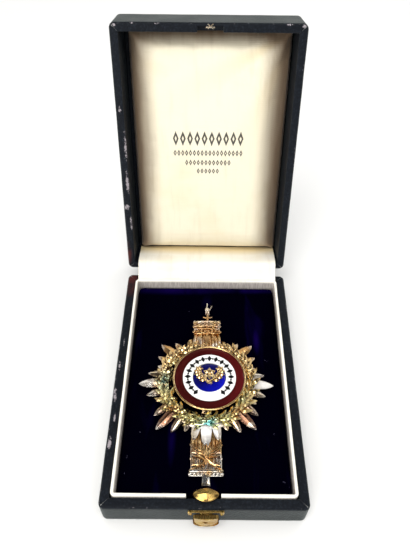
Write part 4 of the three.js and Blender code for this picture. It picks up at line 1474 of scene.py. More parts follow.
def brass_finish(name, metal):
    """Polished brass with brown tarnish in its corners and faint scratches."""
    finish = Finish(name)
    clouds = finish.group("tarnish", {"Vector": finish.place, "Scale": 320.0})
    hollow = finish.span(finish.add("ShaderNodeNewGeometry").outputs["Pointiness"], 0.34, 0.44, 1.0, 0.0)
    dirt = finish.most(finish.times(hollow, 0.75), finish.times(clouds["Fleck"], 0.3))
    warm = finish.mix(finish.times(clouds["Cloud"], 0.6), metal, (0.42, 0.23, 0.07))
    scratches = finish.noise(finish.vector("MULTIPLY", finish.place, (1.0, 0.1, 3.0)), 5200.0, detail=3.0)
    return finish.surface({
        "Base Color": finish.mix(dirt, warm, (0.05, 0.028, 0.010)),
        "Metallic": 1.0,
        "Roughness": finish.span(scratches, 0.3, 0.8, 0.24, 0.33),
        "Normal": finish.bump(scratches, 0.000006),
    })


def steel_finish():
    """Plain brushed steel with a little rust-brown film."""
    finish = Finish("hinge_steel_brushed")
    brushed = finish.noise(finish.vector("MULTIPLY", finish.place, (0.06, 1.0, 1.0)), 3000.0, detail=3.0)
    clouds = finish.group("tarnish", {"Vector": finish.place, "Scale": 240.0})
    film = finish.mix(finish.times(clouds["Cloud"], 0.35), (0.44, 0.43, 0.41), (0.23, 0.15, 0.09))
    return finish.surface({
        "Base Color": film,
        "Metallic": 1.0,
        "Roughness": finish.span(brushed, 0.2, 0.8, 0.28, 0.48),
        "Normal": finish.bump(brushed, 0.00002),
    })


# The star and its wreath


def star_place(mesh):
    """Moves a shape made round the origin onto the star's centre."""
    centre = Vector((STAR_CENTRE_X, bpy.context.scene.badge_sizes.star_y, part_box("star_rays")[0].z))
    mesh.transform(Matrix.Translation(centre))
    return mesh


class BADGE_OT_cut_rays(bpy.types.Operator):
    """Cut the star's rays: clusters of three with a small ray between them"""

    bl_idname = "badge.cut_rays"
    bl_label = "Star rays"

    def execute(self, context):
        sizes = context.scene.badge_sizes
        colours = context.scene.badge_colours
        root = 17.6 * MM
        side_turn = math.radians(11.8)
        long_ray = ray_mesh(root, sizes.long_tip, 4.6 * MM, 1.05 * MM)
        side_ray = ray_mesh(root, sizes.side_tip, 3.6 * MM, 0.90 * MM)
        cluster = joined([
            long_ray,
            placed(side_ray, z=-0.15 * MM, turn=side_turn),
            placed(side_ray, z=-0.15 * MM, turn=-side_turn),
        ])
        deep = 13 * MM
        # White, barely metallic places on the south, east and west rays: painted highlights.
        painted_highlights = [
            (on_badge(0.3, -23.5, 13), mm(10, 12, 8), 1.75),
            (on_badge(25, -5.6, 13), mm(12, 7, 8), 0.85),
            (on_badge(-27, -5.6, 13), mm(7, 5, 8), 0.3),
        ]
        patches = [
            (on_badge(side * 17, y, 13), mm(9, 9, 9), tone, 1.3)
            for side in (-1, 1) for y, tone in ((11, colours.copper), (-22, colours.rose))
        ]
        finish = plated("ray_silver_gilt", colours.gilt, colours.silver,
                        (STAR_CENTRE_X, sizes.star_y, deep), mm(21, 31),
                        tint=colours.rose, tint_amount=0.85, rough=(0.14, 0.30), grime=0.5,
                        patches=patches, painted_highlights=painted_highlights)
        step = TURN / sizes.clusters
        values = {"Count": sizes.clusters - 1, "First Angle": math.pi / 2 + step, "Step Angle": step}
        rays = grown(cluster, "repeat", {**values, "Tilt": 0.035, "Size Spread": 0.012, "Seed": 4}, finish)
        small = ray_mesh(root, sizes.small_tip, 2.9 * MM, 0.85 * MM)
        values = {"Count": sizes.clusters, "First Angle": math.pi / 2 + step / 2, "Step Angle": step}
        values.update({"Tilt": 0.05, "Size Spread": 0.03, "Seed": 9})
        small_rays = grown(small, "repeat", values, finish)
        ring = turned([
            mm(17.7, 0.0), mm(21.0, 0.0), mm(21.0, 0.6), mm(20.2, 0.95), mm(18.6, 0.95), mm(17.7, 0.6),
        ], Vector((0, 0, 0)), 160, ring=True)
        mesh = star_place(joined([rays, small_rays, ring]))
        add_piece("rays", mesh, finish, "silver_gilt", "base", ["star_rays"], angle=12.0)
        return {"FINISHED"}


class BADGE_OT_weave_wreath(bpy.types.Operator):
    """Bind the laurel wreath: leaves and berries along two branches"""

    bl_idname = "badge.weave_wreath"
    bl_label = "Laurel wreath"

    def execute(self, context):
        sizes = context.scene.badge_sizes
        colours = context.scene.badge_colours
        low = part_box("laurel_wreath")[0]
        patches = [(on_badge(side * 14, -20, 15), mm(7, 5, 9), colours.copper, 1.0) for side in (-1, 1)]
        patches += [
            (on_badge(-19, -6, 15), mm(6, 8, 9), colours.aqua, 0.7),
            (on_badge(0, -25, 15), mm(7, 4, 9), colours.aqua, 1.2),
        ]
        # Through floor the wreath's lowest metal is darkened: painted shade under and between the leaves.
        finish = plated("wreath_green_gilt", colours.green_gilt, colours.gilt,
                        (STAR_CENTRE_X, sizes.star_y - 8 * MM, 15 * MM), mm(14, 30),
                        tint=colours.copper, tint_amount=0.35, rough=(0.14, 0.32), grime=0.95,
                        patches=patches, floor=low.z - 0.1 * MM)
        leaf = leaf_mesh(*mm(4.6, 1.6, 0.5, 0.45))
        short = leaf_mesh(*mm(3.3, 1.3, 0.45, 0.4))
        berry = bead_mesh(0.36 * MM, detail=2)
        sprig = joined([
            placed(leaf, lean=0.10),
            placed(leaf, x=0.35 * MM, turn=-0.72, lean=0.02),
            placed(leaf, x=-0.35 * MM, turn=0.72, lean=0.02),
            placed(short, y=1.6 * MM, z=0.45 * MM, turn=-0.35, lean=0.25),
            placed(short, y=1.6 * MM, z=0.45 * MM, turn=0.38, lean=0.22),
            placed(berry, x=1.25 * MM, y=0.5 * MM, z=0.75 * MM),
            placed(berry, x=-1.2 * MM, y=0.9 * MM, z=0.7 * MM, scale=0.85),
        ])
        sprig.transform(Matrix.Scale(1.12, 4))
        centre = Vector((STAR_CENTRE_X, sizes.star_y, low.z + 0.35 * MM))
        foot, tip = math.radians(-86), math.radians(63)
        step = (tip - foot) / (sizes.sprigs - 1)
        outer = {"Count": sizes.sprigs, "Centre": centre, "Radius": sizes.wreath_radius, "Tilt": 0.30,
                 "Size Spread": 0.16}
        inner = {**outer, "Centre": centre - Vector((0, 0, 0.5 * MM)),
                 "Radius": sizes.wreath_radius - 2.3 * MM, "Tilt": 0.4}
        rows = []
        for shape, values, first, seeds in (
            (sprig, outer, foot, (3, 21)), (placed(sprig, scale=0.72), inner, foot - step / 2, (31, 47)),
        ):
            right = {**values, "First Angle": first, "Step Angle": step, "Seed": seeds[0]}
            left = {**values, "First Angle": math.pi - first, "Step Angle": -step, "Seed": seeds[1]}
            rows.append(grown(shape, "repeat", right, finish))
            rows.append(grown(placed(shape, turn=math.pi), "repeat", left, finish))
        routes = []
        for side in (1, -1):
            route = []
            for part in arc_steps(40):
                angle = math.radians(-104) + (tip - math.radians(-104)) * part
                wobble = 0.35 * MM * math.sin(part * 34)
                radius = sizes.wreath_radius + wobble + (1 - min(1, part * 8)) * 1.6 * MM
                point = centre + Vector((side * math.cos(angle) * radius, math.sin(angle) * radius, 0))
                route.append((point + Vector((0, 0, 0.25 * MM * (side + 1))), (0.42 - 0.2 * part) * MM))
            routes.append(route)
        bow = []
        for side in (1, -1):
            loop = []
            for part in arc_steps(14):
                turn = part * math.pi * 1.25
                x = side * (0.3 + 1.7 * math.sin(turn * 0.8)) * MM
                y = -sizes.wreath_radius + (0.2 + 1.2 * math.cos(turn) * part) * MM
                loop.append((centre + Vector((x, y, 0.9 * MM)), 0.30 * MM))
            bow.append(loop)
        stems = wires(routes + bow, finish, sides=8)
        add_gilt("wreath", [*rows, stems], finish, "laurel_wreath", 40.0)
        return {"FINISHED"}


# The bundle of rods


def add_gilt(name, parts, finish, node, angle):
    """A silver-gilt piece of the badge, joined from its parts."""
    add_piece(name, joined(parts), finish, "silver_gilt", "base", [node], angle=angle)


def side_beads(places, x, z):
    """Beads on both sides of the staff: places are (y, radius), in millimetres."""
    return [
        placed(bead_mesh(size * MM), *on_badge(side * x, y, z)) for side in (-1, 1) for y, size in places
    ]


def bead_row(radius, beads, left, right, y, z, finish, squash=0.8):
    """Beads in a row across the staff, at x from left to right in millimetres."""
    step = (right - left) / (beads - 1)
    return grown(bead_mesh(radius * MM, squash), "repeat", {
        "Count": beads, "Centre": on_badge(left, y, z), "Step": (step * MM, 0.0, 0.0),
        "Size Spread": 0.07, "Seed": round(y * 3 + 200),
    }, finish)


def fasces_finish(name, middle_y):
    colours = bpy.context.scene.badge_colours
    return plated(name, colours.copper, colours.silver, on_badge(0, middle_y, 14), mm(6.5, 13.5),
                  tint=colours.gilt, tint_amount=0.7, rough=(0.14, 0.30), grime=0.95)


class BADGE_OT_bind_upper_fasces(bpy.types.Operator):
    """Bind the upper bundle of rods with its two bands"""

    bl_idname = "badge.bind_upper_fasces"
    bl_label = "Upper fasces"

    def execute(self, context):
        finish = fasces_finish("upper_fasces_gilt", 20.0)
        rods = context.scene.badge_sizes.rods
        half = 5.5
        routes = []
        for index in range(rods):
            across = 2 * index / (rods - 1) - 1
            thick = 0.86 if index % 2 == 0 else 0.58
            bulge = 0.55 * (1 - across * across)
            route = []
            for part in arc_steps(16):
                y = 27.0 - part * 15.0
                waist = 1.0 - 0.10 * math.exp(-((y - 20.4) / 1.6) ** 2) + 0.03 * math.sin(part * 9 + index)
                fullness = thick * (0.82 + 0.30 * max(0.0, (19.5 - y) / 7.5))
                sway = 0.22 * math.sin(part * 5 + index * 2.1) * max(0.0, (20 - y) / 8)
                route.append((on_badge(across * half * waist + sway, y, 14.5 + bulge), fullness * MM))
            routes.append(route)
        parts = [wires(routes, finish, sides=10)]
        parts.append(bar_mesh(on_badge(-5.9, 12.3, 13.6), on_badge(5.9, 26.3, 14.5), 0.25 * MM))
        for y, wide in ((26.3, 6.15), (23.7, 6.1), (22.1, 5.95), (19.6, 5.9)):
            route = []
            for part in arc_steps(16):
                x = wide * (2 * part - 1)
                wave = 0.14 * math.sin(part * 21 + y)
                route.append((on_badge(x, y + wave, 15.35 + 0.55 * (1 - (x / wide) ** 2)), 0.36 * MM))
            parts.append(wires([route], finish, sides=8))
        ring = torus_mesh(0.66 * MM, 0.27 * MM)
        ring_count = 7
        step = 11.0 / (ring_count - 1)
        parts.append(grown(ring, "repeat", {
            "Count": ring_count, "Centre": on_badge(-5.5, 25.0, 15.9), "Step": (step * MM, 0.0, 0.0),
            "Tilt": 0.2, "Size Spread": 0.12, "Seed": 5,
        }, finish))
        parts.append(bead_row(0.62, 8, -5.7, 5.7, 20.9, 15.7, finish))
        parts.append(bead_row(0.5, 8, -5.8, 5.8, 27.0, 15.0, finish))
        parts += side_beads(((25.9, 0.62), (23.9, 0.72), (20.8, 0.80)), 6.05, 14.9)
        spear = leaf_mesh(*mm(7.4, 2.5, 0.5, 0.75), thickness=0.6 * MM)
        parts.append(placed(spear, *on_badge(0.2, 20.4, 15.5), turn=math.pi))
        for side in (-1, 1):
            turn = math.pi - side * 0.12
            parts.append(placed(spear, *on_badge(side * 3.4, 19.6, 15.1), turn=turn, scale=0.8))
        spine_low, spine_high = on_badge(-2.2, -24.0, 11.0), on_badge(2.2, 14.0, 12.0)
        parts.append(bar_mesh(spine_low, spine_high, 0.2 * MM))
        add_gilt("upper_fasces", parts, finish, "fasces_staff", 50.0)
        return {"FINISHED"}


class BADGE_OT_bind_lower_fasces(bpy.types.Operator):
    """Bind the lower bundle of rods with its garland, foot and peg"""

    bl_idname = "badge.bind_lower_fasces"
    bl_label = "Lower fasces"

    def execute(self, context):
        finish = fasces_finish("lower_fasces_gilt", -34.0)
        rods = context.scene.badge_sizes.rods
        top = 12.0
        routes = []
        for index in range(rods):
            across = 2 * index / (rods - 1) - 1
            thick = 0.80 if index % 2 == 0 else 0.55
            route = []
            for part in arc_steps(14):
                y = -23.0 - part * 20.6
                sway = 0.10 * math.sin(part * 8 + index * 1.7)
                sunk = 0.9 * clamped((y + 31.5) / 3.5)
                height = top - 0.6 + 0.35 * (1 - across ** 2) - sunk
                route.append((on_badge(across * 5.6 + sway, y, height), thick * MM))
            routes.append(route)
        parts = [wires(routes, finish, sides=10)]
        parts.append(bar_mesh(on_badge(-5.95, -43.6, 10.7), on_badge(5.95, -22.8, 11.2), 0.2 * MM))
        garlands = []
        for lift, thick in ((0.0, 0.62), (1.15, 0.34), (-1.1, 0.32)):
            route = []
            for part in arc_steps(24):
                across = 2 * part - 1
                y = -33.2 + lift - 4.2 * (1 - across ** 2) ** 0.8
                wave = 0.16 * math.sin(part * 40)
                height = top + 0.5 + 0.35 * (1 - across ** 2)
                route.append((on_badge(across * 6.1, y + wave, height), thick * MM))
            garlands.append(route)
        parts.append(wires(garlands, finish, sides=8))
        parts += side_beads(((-24.6, 0.6), (-33.2, 0.8), (-38.9, 0.6), (-43.6, 0.75)), 6.1, 11.9)
        parts.append(bar_mesh(on_badge(-6.7, -44.5, 10.9), on_badge(6.7, -43.5, 12.9), 0.25 * MM))
        parts.append(bead_row(0.62, 9, -6.1, 6.1, -45.1, 12.5, finish, squash=1.0))
        parts.append(bar_mesh(on_badge(-6.8, -46.0, 10.9), on_badge(6.8, -44.6, 12.2), 0.2 * MM))
        parts += side_beads(((-45.3, 0.65),), 6.5, 12.4)
        outline = [(-0.5, -0.9), (0.5, -0.9), (0.5, 0.2), (0.28, 0.55), (-0.28, 0.55), (-0.5, 0.2)]
        peg = []
        for y, wide, z in (
            (-45.8, 3.0, 12.3), (-46.6, 2.9, 12.3), (-48.4, 3.0, 12.2),
            (-49.1, 3.2, 12.4), (-49.9, 3.4, 12.3),
        ):
            peg.append([on_badge(wide * x, y, z + 0.9 * height) for x, height in outline])
        parts.append(loft(peg))
        add_gilt("lower_fasces", parts, finish, "fasces_staff", 50.0)
        return {"FINISHED"}


class BADGE_OT_tie_ribbons(bpy.types.Operator):
    """Cross the ribbons over the lower rods and knot them"""

    bl_idname = "badge.tie_ribbons"
    bl_label = "Crossed ribbons"

    def execute(self, context):
        finish = fasces_finish("ribbon_gilt", -39.0)
        parts = []
        for side in (-1, 1):
            rings = []
            for part in arc_steps(20):
                across = 2 * part - 1
                x = side * across * 5.7
                y = -39.8 - across * 2.7 + 0.5 * math.sin(part * math.pi * 2)
                z = 12.75 + 0.35 * math.exp(-(across * 2.5) ** 2) * (1 + side)
                wide = 0.72 + 0.12 * math.sin(part * 15)
                section = [(-wide, -0.15), (-0.7 * wide, 0.22), (0, 0.05)]
                section += [(0.7 * wide, 0.22), (wide, -0.15), (0, -0.3)]
                rings.append([on_badge(x, y + offset, z + height) for offset, height in section])
            parts.append(loft(rings))
        knot = leaf_mesh(*mm(3.4, 1.5, 0.5, 0.5), thickness=0.4 * MM)
        for turn in (0.55, -0.55, math.pi):
            parts.append(placed(knot, *on_badge(0, -38.4, 12.9), turn=turn))
        parts.append(placed(bead_mesh(0.85 * MM), *on_badge(0, -38.5, 13.4)))
        add_gilt("ribbons", parts, finish, "crossed_ribbons", 40.0)
        return {"FINISHED"}


# The raised hand


def capsule(start, end, radius_start, radius_end, steps=6):
    """A rounded limb between two points, as overlapping balls."""
    meshes = []
    for part in arc_steps(steps):
        centre = start.lerp(end, part)
        radius = radius_start + (radius_end - radius_start) * part
        meshes.append(placed(bead_mesh(radius, detail=3), *centre))
    return meshes


def fused(meshes, voxel):
    """Melts overlapping shapes into one closed skin, enlarged so that the smallest voxel is fine enough."""
    enlarge = 100.0
    mesh = joined(meshes)
    mesh.transform(Matrix.Scale(enlarge, 4))
    mesh = modified(mesh, "REMESH", mode="VOXEL", voxel_size=voxel * enlarge, adaptivity=0.0)
    mesh = modified(mesh, "SMOOTH", factor=0.5, iterations=3)
    mesh.transform(Matrix.Scale(1 / enlarge, 4))
    return mesh


class BADGE_OT_raise_hand(bpy.types.Operator):
    """Model the finial: a knop with wings, a cuff and a raised hand"""

    bl_idname = "badge.raise_hand"
    bl_label = "Hand finial"

    def execute(self, context):
        colours = context.scene.badge_colours
        finish = plated("finial_silver", colours.copper, colours.silver, on_badge(0.3, 27.0, 13.5),
                        mm(4.0, 16.0), tint=colours.rose, tint_amount=0.8, grime=0.9)

        def limb(start, end, thick, thin):
            return capsule(on_badge(*start), on_badge(*end), thick * MM, thin * MM)

        parts = limb((0.3, 27.2, 13.7), (0.3, 28.8, 13.6), 1.15, 0.62)
        parts += limb((0.3, 28.8, 13.6), (0.3, 32.6, 13.4), 0.62, 0.62)
        for side in (-1, 1):
            parts += limb((0.3, 30.0, 13.5), (0.3 + side * 1.95, 30.4, 13.6), 0.50, 0.42)
            parts += limb((0.3, 32.2, 13.4), (0.3 + side * 0.85, 32.4, 13.4), 0.48, 0.36)
        parts += limb((-0.25, 33.3, 13.5), (-0.25, 35.2, 13.5), 0.78, 0.70)
        parts += limb((0.65, 33.3, 13.5), (0.70, 35.0, 13.5), 0.70, 0.60)
        for x, y in ((-0.62, 35.5), (0.02, 35.8), (0.64, 35.6)):
            parts += limb((x, y, 13.7), (x, y - 1.2, 14.2), 0.40, 0.34)
        parts += limb((-0.1, 35.6, 13.5), (0.12, 38.8, 13.5), 0.50, 0.40)
        parts += limb((1.0, 34.4, 13.5), (2.35, 37.2, 13.7), 0.40, 0.28)
        mesh = fused(parts, 0.13 * MM)
        add_piece("finial_hand", mesh, finish, "silver_gilt", "base", ["hand_finial"], angle=60.0)
        return {"FINISHED"}


# The enamelled medallion


class BADGE_OT_set_medallion(bpy.types.Operator):
    """Turn the bezel and fire its three enamels"""

    bl_idname = "badge.set_medallion"
    bl_label = "Medallion"

    def execute(self, context):
        colours = context.scene.badge_colours
        outer = (MEDAL_HIGH.x - MEDAL_LOW.x) / 2
        foot, top = MEDAL_LOW.z, MEDAL_HIGH.z
        gilt = plated("bezel_gilt", colours.bright_gilt, colours.gilt, MEDAL_CENTRE, mm(4, 40),
                      tint=colours.copper, tint_amount=0.35, rough=(0.10, 0.22), grime=0.6)
        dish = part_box("blue_enamel_centre")[0].z - 0.3 * MM
        lip = 0.42 * MM
        profile = [(0.0005, foot), (outer - 1.6 * MM, foot), (outer - 0.7 * MM, foot + 0.5 * MM)]
        profile += [(outer - 0.30 * MM, foot + 1.4 * MM), (outer - 0.30 * MM, top - 1.3 * MM)]
        for part in arc_steps(10):
            angle = math.pi * (1.35 * part - 0.25)
            profile.append((outer - lip + lip * math.cos(angle), top - lip + lip * math.sin(angle)))
        profile += [(outer - 0.95 * MM, top - 0.9 * MM), (outer - 0.95 * MM, dish), (0.0005, dish)]
        bezel = turned(profile, MEDAL_CENTRE, 192)
        add_piece("bezel", bezel, gilt, "silver_gilt", "base", ["medallion_bezel"])
        red = guilloche_enamel("maroon_enamel", colours.maroon, colours.maroon_light,
                               180, 2600.0, 0.55, 0.2)
        blue = guilloche_enamel("blue_enamel_turned", colours.blue, colours.blue_light,
                                72, 900.0, 0.60, -0.9)
        white = plain_enamel("white_enamel_fired", colours.white, (0.80, 0.80, 0.78))
        for name, slot, finish, dome, narrow, wide in (
            ("maroon_ring", "red_enamel", red, 0.16 * MM, 11.62 * MM, 14.97 * MM),
            ("white_ring", "white_enamel", white, 0.14 * MM, 7.22 * MM, 11.50 * MM),
        ):
            low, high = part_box(f"{slot}_ring")
            profile = [(narrow, low.z), (wide, low.z)]
            for part in arc_steps(8):
                sunk = dome * (1 - math.sin(math.pi * (0.08 + 0.84 * part)))
                profile.append((wide + (narrow - wide) * part, high.z - sunk))
            ring = turned(profile, MEDAL_CENTRE, 192, ring=True)
            add_piece(name, ring, finish, slot, "base", [f"{slot}_ring"])
        low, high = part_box("blue_enamel_centre")
        radius = 7.1 * MM
        profile = [(0.0002, low.z), (radius, low.z)]
        for part in arc_steps(9)[:-1]:
            angle = part * math.pi / 2
            height = high.z - 0.45 * MM * (1 - math.sin(angle))
            profile.append((max(radius * math.cos(angle), 0.0002), height))
        centre = turned(profile, MEDAL_CENTRE, 160)
        add_piece("blue_centre", centre, blue, "blue_enamel", "base", ["blue_enamel_centre"])
        return {"FINISHED"}


class BADGE_OT_inlay_ornaments(bpy.types.Operator):
    """Inlay the white ring with plain black lozenges and dots, its bottom left bare"""

    bl_idname = "badge.inlay_ornaments"
    bl_label = "Ring ornaments"

    def execute(self, context):
        sizes = context.scene.badge_sizes
        black = plain_enamel("black_enamel", (0.006, 0.006, 0.007), (0.016, 0.016, 0.018))
        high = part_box("white_enamel_ring")[1].z
        outline = [(1.45, 0.0), (0.0, 1.02), (-1.45, 0.0), (0.0, -1.02)]
        lozenge = loft([[Vector(mm(x, y, z)) for x, y in outline] for z in (-0.1, 0.05)])
        dot = bead_mesh(0.48 * MM, squash=0.25)
        first, last = math.radians(-52), math.radians(232)
        step = (last - first) / (sizes.ornaments - 1)
        centre = Vector((MEDAL_CENTRE.x, MEDAL_CENTRE.y, high))
        values = {"Centre": centre, "Radius": 9.4 * MM, "Step Angle": step, "Seed": 2,
                  "Count": sizes.ornaments, "First Angle": first}
        lozenges = grown(lozenge, "repeat", values, black)
        values.update({"Count": sizes.ornaments - 1, "First Angle": first + step / 2})
        dots = grown(dot, "repeat", values, black)
        add_piece("ring_ornaments", joined([lozenges, dots]), black, "white_enamel", "base", angle=30.0)
        return {"FINISHED"}


class BADGE_OT_mount_device(bpy.types.Operator):
    """Mount the gilt device on the blue centre: two crossed sprigs with a rosette"""

    bl_idname = "badge.mount_device"
    bl_label = "Gilt device"

    def execute(self, context):
        colours = context.scene.badge_colours
        low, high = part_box("gold_device")
        finish = plated("device_gilt", colours.pale_gilt, colours.gilt, (low + high) / 2, mm(1, 9),
                        tint=colours.copper, tint_amount=0.4, rough=(0.12, 0.26), grime=0.7)
        middle = (low + high) / 2
        base = low.z - 0.05 * MM
        leaf = leaf_mesh(*mm(3.0, 1.65, 0.25, 0.40), thickness=0.3 * MM)
        berry = bead_mesh(0.45 * MM)
        parts = []
        routes = []
        for side in (-1, 1):
            route = []
            for part in arc_steps(12):
                x = side * (-1.1 + 5.9 * math.sin(part * 1.9)) * MM
                y = (-4.0 + 7.0 * part) * MM
                point = Vector((middle.x + x, middle.y + y, base + (0.25 + 0.12 * side) * MM))
                route.append((point, (0.62 - 0.18 * part) * MM))
            routes.append(route)
            for index in (3, 5, 7, 9, 11):
                point = route[index][0]
                ahead = route[min(index + 1, 12)][0] - route[index - 1][0]
                heading = math.atan2(ahead.y, ahead.x) - math.pi / 2
                size = 0.95 - 0.015 * index
                for turn in (heading - 0.75, heading + 0.75):
                    parts.append(placed(leaf, point.x, point.y, base + 0.15 * MM, turn=turn, scale=size))
                parts.append(placed(berry, point.x, point.y + 0.1 * MM, base + 0.5 * MM))
            tip = route[-1][0]
            parts.append(placed(leaf, tip.x, tip.y, base + 0.15 * MM, turn=heading, scale=0.7))
        parts.append(wires(routes, finish, sides=8))
        petal = leaf_mesh(*mm(3.0, 1.7, 0.2, 0.45), thickness=0.3 * MM)
        heart = Vector((middle.x, middle.y + 0.9 * MM, base + 0.25 * MM))
        parts += [placed(petal, *heart, turn=TURN * index / 6) for index in range(6)]
        parts.append(placed(bead_mesh(0.6 * MM), heart.x, heart.y, heart.z + 0.3 * MM))
        add_gilt("device", parts, finish, "gold_device", 40.0)
        return {"FINISHED"}


# Clasp and hinge


def plate_mesh(outline, stations):
    """A closed plate: outline is (x, z) and each station is (y, inset, bulge) in metres."""
    centre_x = sum(x for x, z in outline) / len(outline)
    centre_z = sum(z for x, z in outline) / len(outline)
    half_x = max(abs(x - centre_x) for x, z in outline)
    half_z = max(abs(z - centre_z) for x, z in outline)
    rings = []
    for y, inset, bulge in stations:
        ring = []
        for x, z in outline:
            dx, dz = x - centre_x, z - centre_z
            out = bulge * (1 - (dx / half_x) ** 2)
            narrow, low = 1 - inset / half_x, 1 - inset / half_z
            ring.append(Vector((centre_x + dx * narrow, y - out, centre_z + dz * low)))
        rings.append(ring)
    return loft(rings)


def round_rectangle(low_x, high_x, low_z, high_z, top_radius, bottom_radius, steps=6):
    """Outline of an upright rectangle whose upper and lower corners have their own radius."""
    outline = []
    corners = [
        (high_x - bottom_radius, low_z + bottom_radius, bottom_radius, -90),
        (high_x - top_radius, high_z - top_radius, top_radius, 0),
        (low_x + top_radius, high_z - top_radius, top_radius, 90),
        (low_x + bottom_radius, low_z + bottom_radius, bottom_radius, 180),
    ]
    for x, z, radius, degrees in corners:
        for part in arc_steps(steps):
            turn = math.radians(degrees + 90 * part)
            outline.append((x + radius * math.cos(turn), z + radius * math.sin(turn)))
    dense = []
    for (x, z), (next_x, next_z) in zip(outline, outline[1:] + outline[:1]):
        pieces = max(1, round(math.hypot(next_x - x, next_z - z) / (0.6 * MM)))
        for part in range(pieces):
            dense.append((x + (next_x - x) * part / pieces, z + (next_z - z) * part / pieces))
    return dense


class BADGE_OT_fit_clasp(bpy.types.Operator):
    """Fit the clasp: its plate, the push button with its catch, and the strike in the lid"""

    bl_idname = "badge.fit_clasp"
    bl_label = "Clasp"

    def execute(self, context):
        brass = brass_finish("clasp_brass", context.scene.badge_colours.brass)
        low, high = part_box("clasp_plate")
        middle = (low.x + high.x) / 2
        clear = 5.2 * MM
        spans = [
            (low.x, middle - clear, high.z - 3.4 * MM, high.z, 0.6, 1.4),
            (middle + clear, high.x, high.z - 3.4 * MM, high.z, 0.6, 1.4),
            (low.x + 0.5 * MM, high.x - 0.5 * MM, high.z - 0.48 * MM, high.z, 0.2, 0.05),
        ]
        parts = []
        for left, right, foot, head, top_radius, bottom_radius in spans:
            outline = round_rectangle(left, right, foot, head, top_radius * MM, bottom_radius * MM)
            stations = [(high.y, 0.0, 0.0), (low.y + 0.2 * MM, 0.0, 0.0), (low.y, 0.15 * MM, 0.0)]
            parts.append(plate_mesh(outline, stations))
        pin = bead_mesh(0.5 * MM)
        for x in (low.x + 1.1 * MM, high.x - 1.1 * MM):
            parts.append(placed(pin, x, low.y + 0.1 * MM, high.z - 1.7 * MM))
        add_piece("clasp_plate_brass", joined(parts), brass, "clasp_brass", "base", ["clasp_plate"])
        self.add_button(brass)
        self.add_strike(brass_finish("strike_nickel", (0.52, 0.50, 0.43)))
        return {"FINISHED"}

    def add_button(self, brass):
        low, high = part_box("catch_button")
        front = low.y
        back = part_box("clasp_plate")[0].y - 0.3 * MM
        foot, head = low.z, low.z + 8.0 * MM
        middle = (low.x + high.x) / 2
        half = 4.85 * MM
        outline = round_rectangle(middle - half, middle + half, foot, head, 0.9 * MM, 2.6 * MM)
        stations = [(back, 0.25 * MM, 0.0), (back - 0.35 * MM, 0.0, 0.0), (back - 1.5 * MM, 0.0, 0.4 * MM)]
        for ahead, inset, bulge in (
            (1.35, 0.10, 0.5), (0.9, 0.35, 0.55), (0.68, 0.9, 0.6), (0.62, 2.0, 0.6), (0.60, 3.5, 0.6),
        ):
            stations.append((front + ahead * MM, inset * MM, bulge * MM))
        button = plate_mesh(outline, stations)
        stem = bar_mesh(Vector((middle - 2.4 * MM, back - 0.3 * MM, foot + 3.0 * MM)),
                        Vector((middle + 2.4 * MM, high.y - 0.6 * MM, foot + 4.8 * MM)), 0.2 * MM)
        post = bar_mesh(Vector((middle - 2.0 * MM, high.y - 3.0 * MM, foot + 3.0 * MM)),
                        Vector((middle + 2.0 * MM, high.y - 0.8 * MM, high.z - 1.6 * MM)), 0.2 * MM)
        lens_y = high.y - 2.35 * MM
        rings = []
        profile = (
            (-2.0, 0.86), (-1.6, 0.97), (-1.2, 1.0), (-1.0, 0.93), (-0.78, 0.76), (0.0, 0.02),
        )
        for height, shrink in profile:
            ring = []
            for part in range(48):
                angle = TURN * part / 48
                cosine, sine = math.cos(angle), math.sin(angle)
                along = half * cosine
                reach = 2.35 * MM if sine > 0 else 2.75 * MM
                across = reach * sine * (1 - 0.16 * cosine ** 2) * abs(sine) ** 0.12
                if shrink < 0.8:
                    along /= abs(cosine) + abs(sine)
                    across = reach * sine / (abs(cosine) + abs(sine))
                x, y = middle + along * shrink, lens_y + across * shrink
                ring.append(Vector((x, y, high.z + height * MM)))
            rings.append(ring)
        lens = loft(rings)
        add_piece("push_button", joined([button, stem, post, lens]), brass, "clasp_brass", "catch",
                  ["catch_button"], angle=28.0)

    def add_strike(self, brass):
        low, high = box_in("strike_plate", LID_PLACE)
        middle = (low + high) / 2
        routes = []
        for side in (-1, 1):
            route = []
            for part in arc_steps(12):
                turn = (part - 0.5) * 2.1
                x = middle.x + side * (2.05 * MM - 1.75 * MM * math.cos(turn))
                y = middle.y + 0.45 * MM + 0.95 * MM * math.sin(turn)
                route.append((LID_PLACE @ Vector((x, y, LID_HIGH.z - 0.06 * MM)), 0.20 * MM))
            routes.append(route)
        strike = bar_mesh(Vector((low.x, low.y, low.z)), Vector((high.x, high.y, high.z)), 0.1 * MM)
        strike.transform(LID_PLACE)
        mesh = joined([wires(routes, brass, sides=8), strike])
        add_piece("strike_loops", mesh, brass, "clasp_brass", "lid", ["strike_plate"])


class BADGE_OT_finish_frame_nodes(bpy.types.Operator):
    """Give the hinge and the hidden pin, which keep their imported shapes, their metal finishes"""

    bl_idname = "badge.finish_frame_nodes"
    bl_label = "Hinge and brooch pin"

    def execute(self, context):
        colours = context.scene.badge_colours
        steel = steel_finish()
        for name in ("hinge_base_leaf", "hinge_lid_leaf", "hinge_pin"):
            frame["nodes"][name].material_slots[0].material = steel
        gilt = plated("pin_gilt", colours.gilt, colours.silver, on_badge(0, 3, 10), mm(10, 30))
        frame["nodes"]["brooch_pin"].material_slots[0].material = gilt
        return {"FINISHED"}


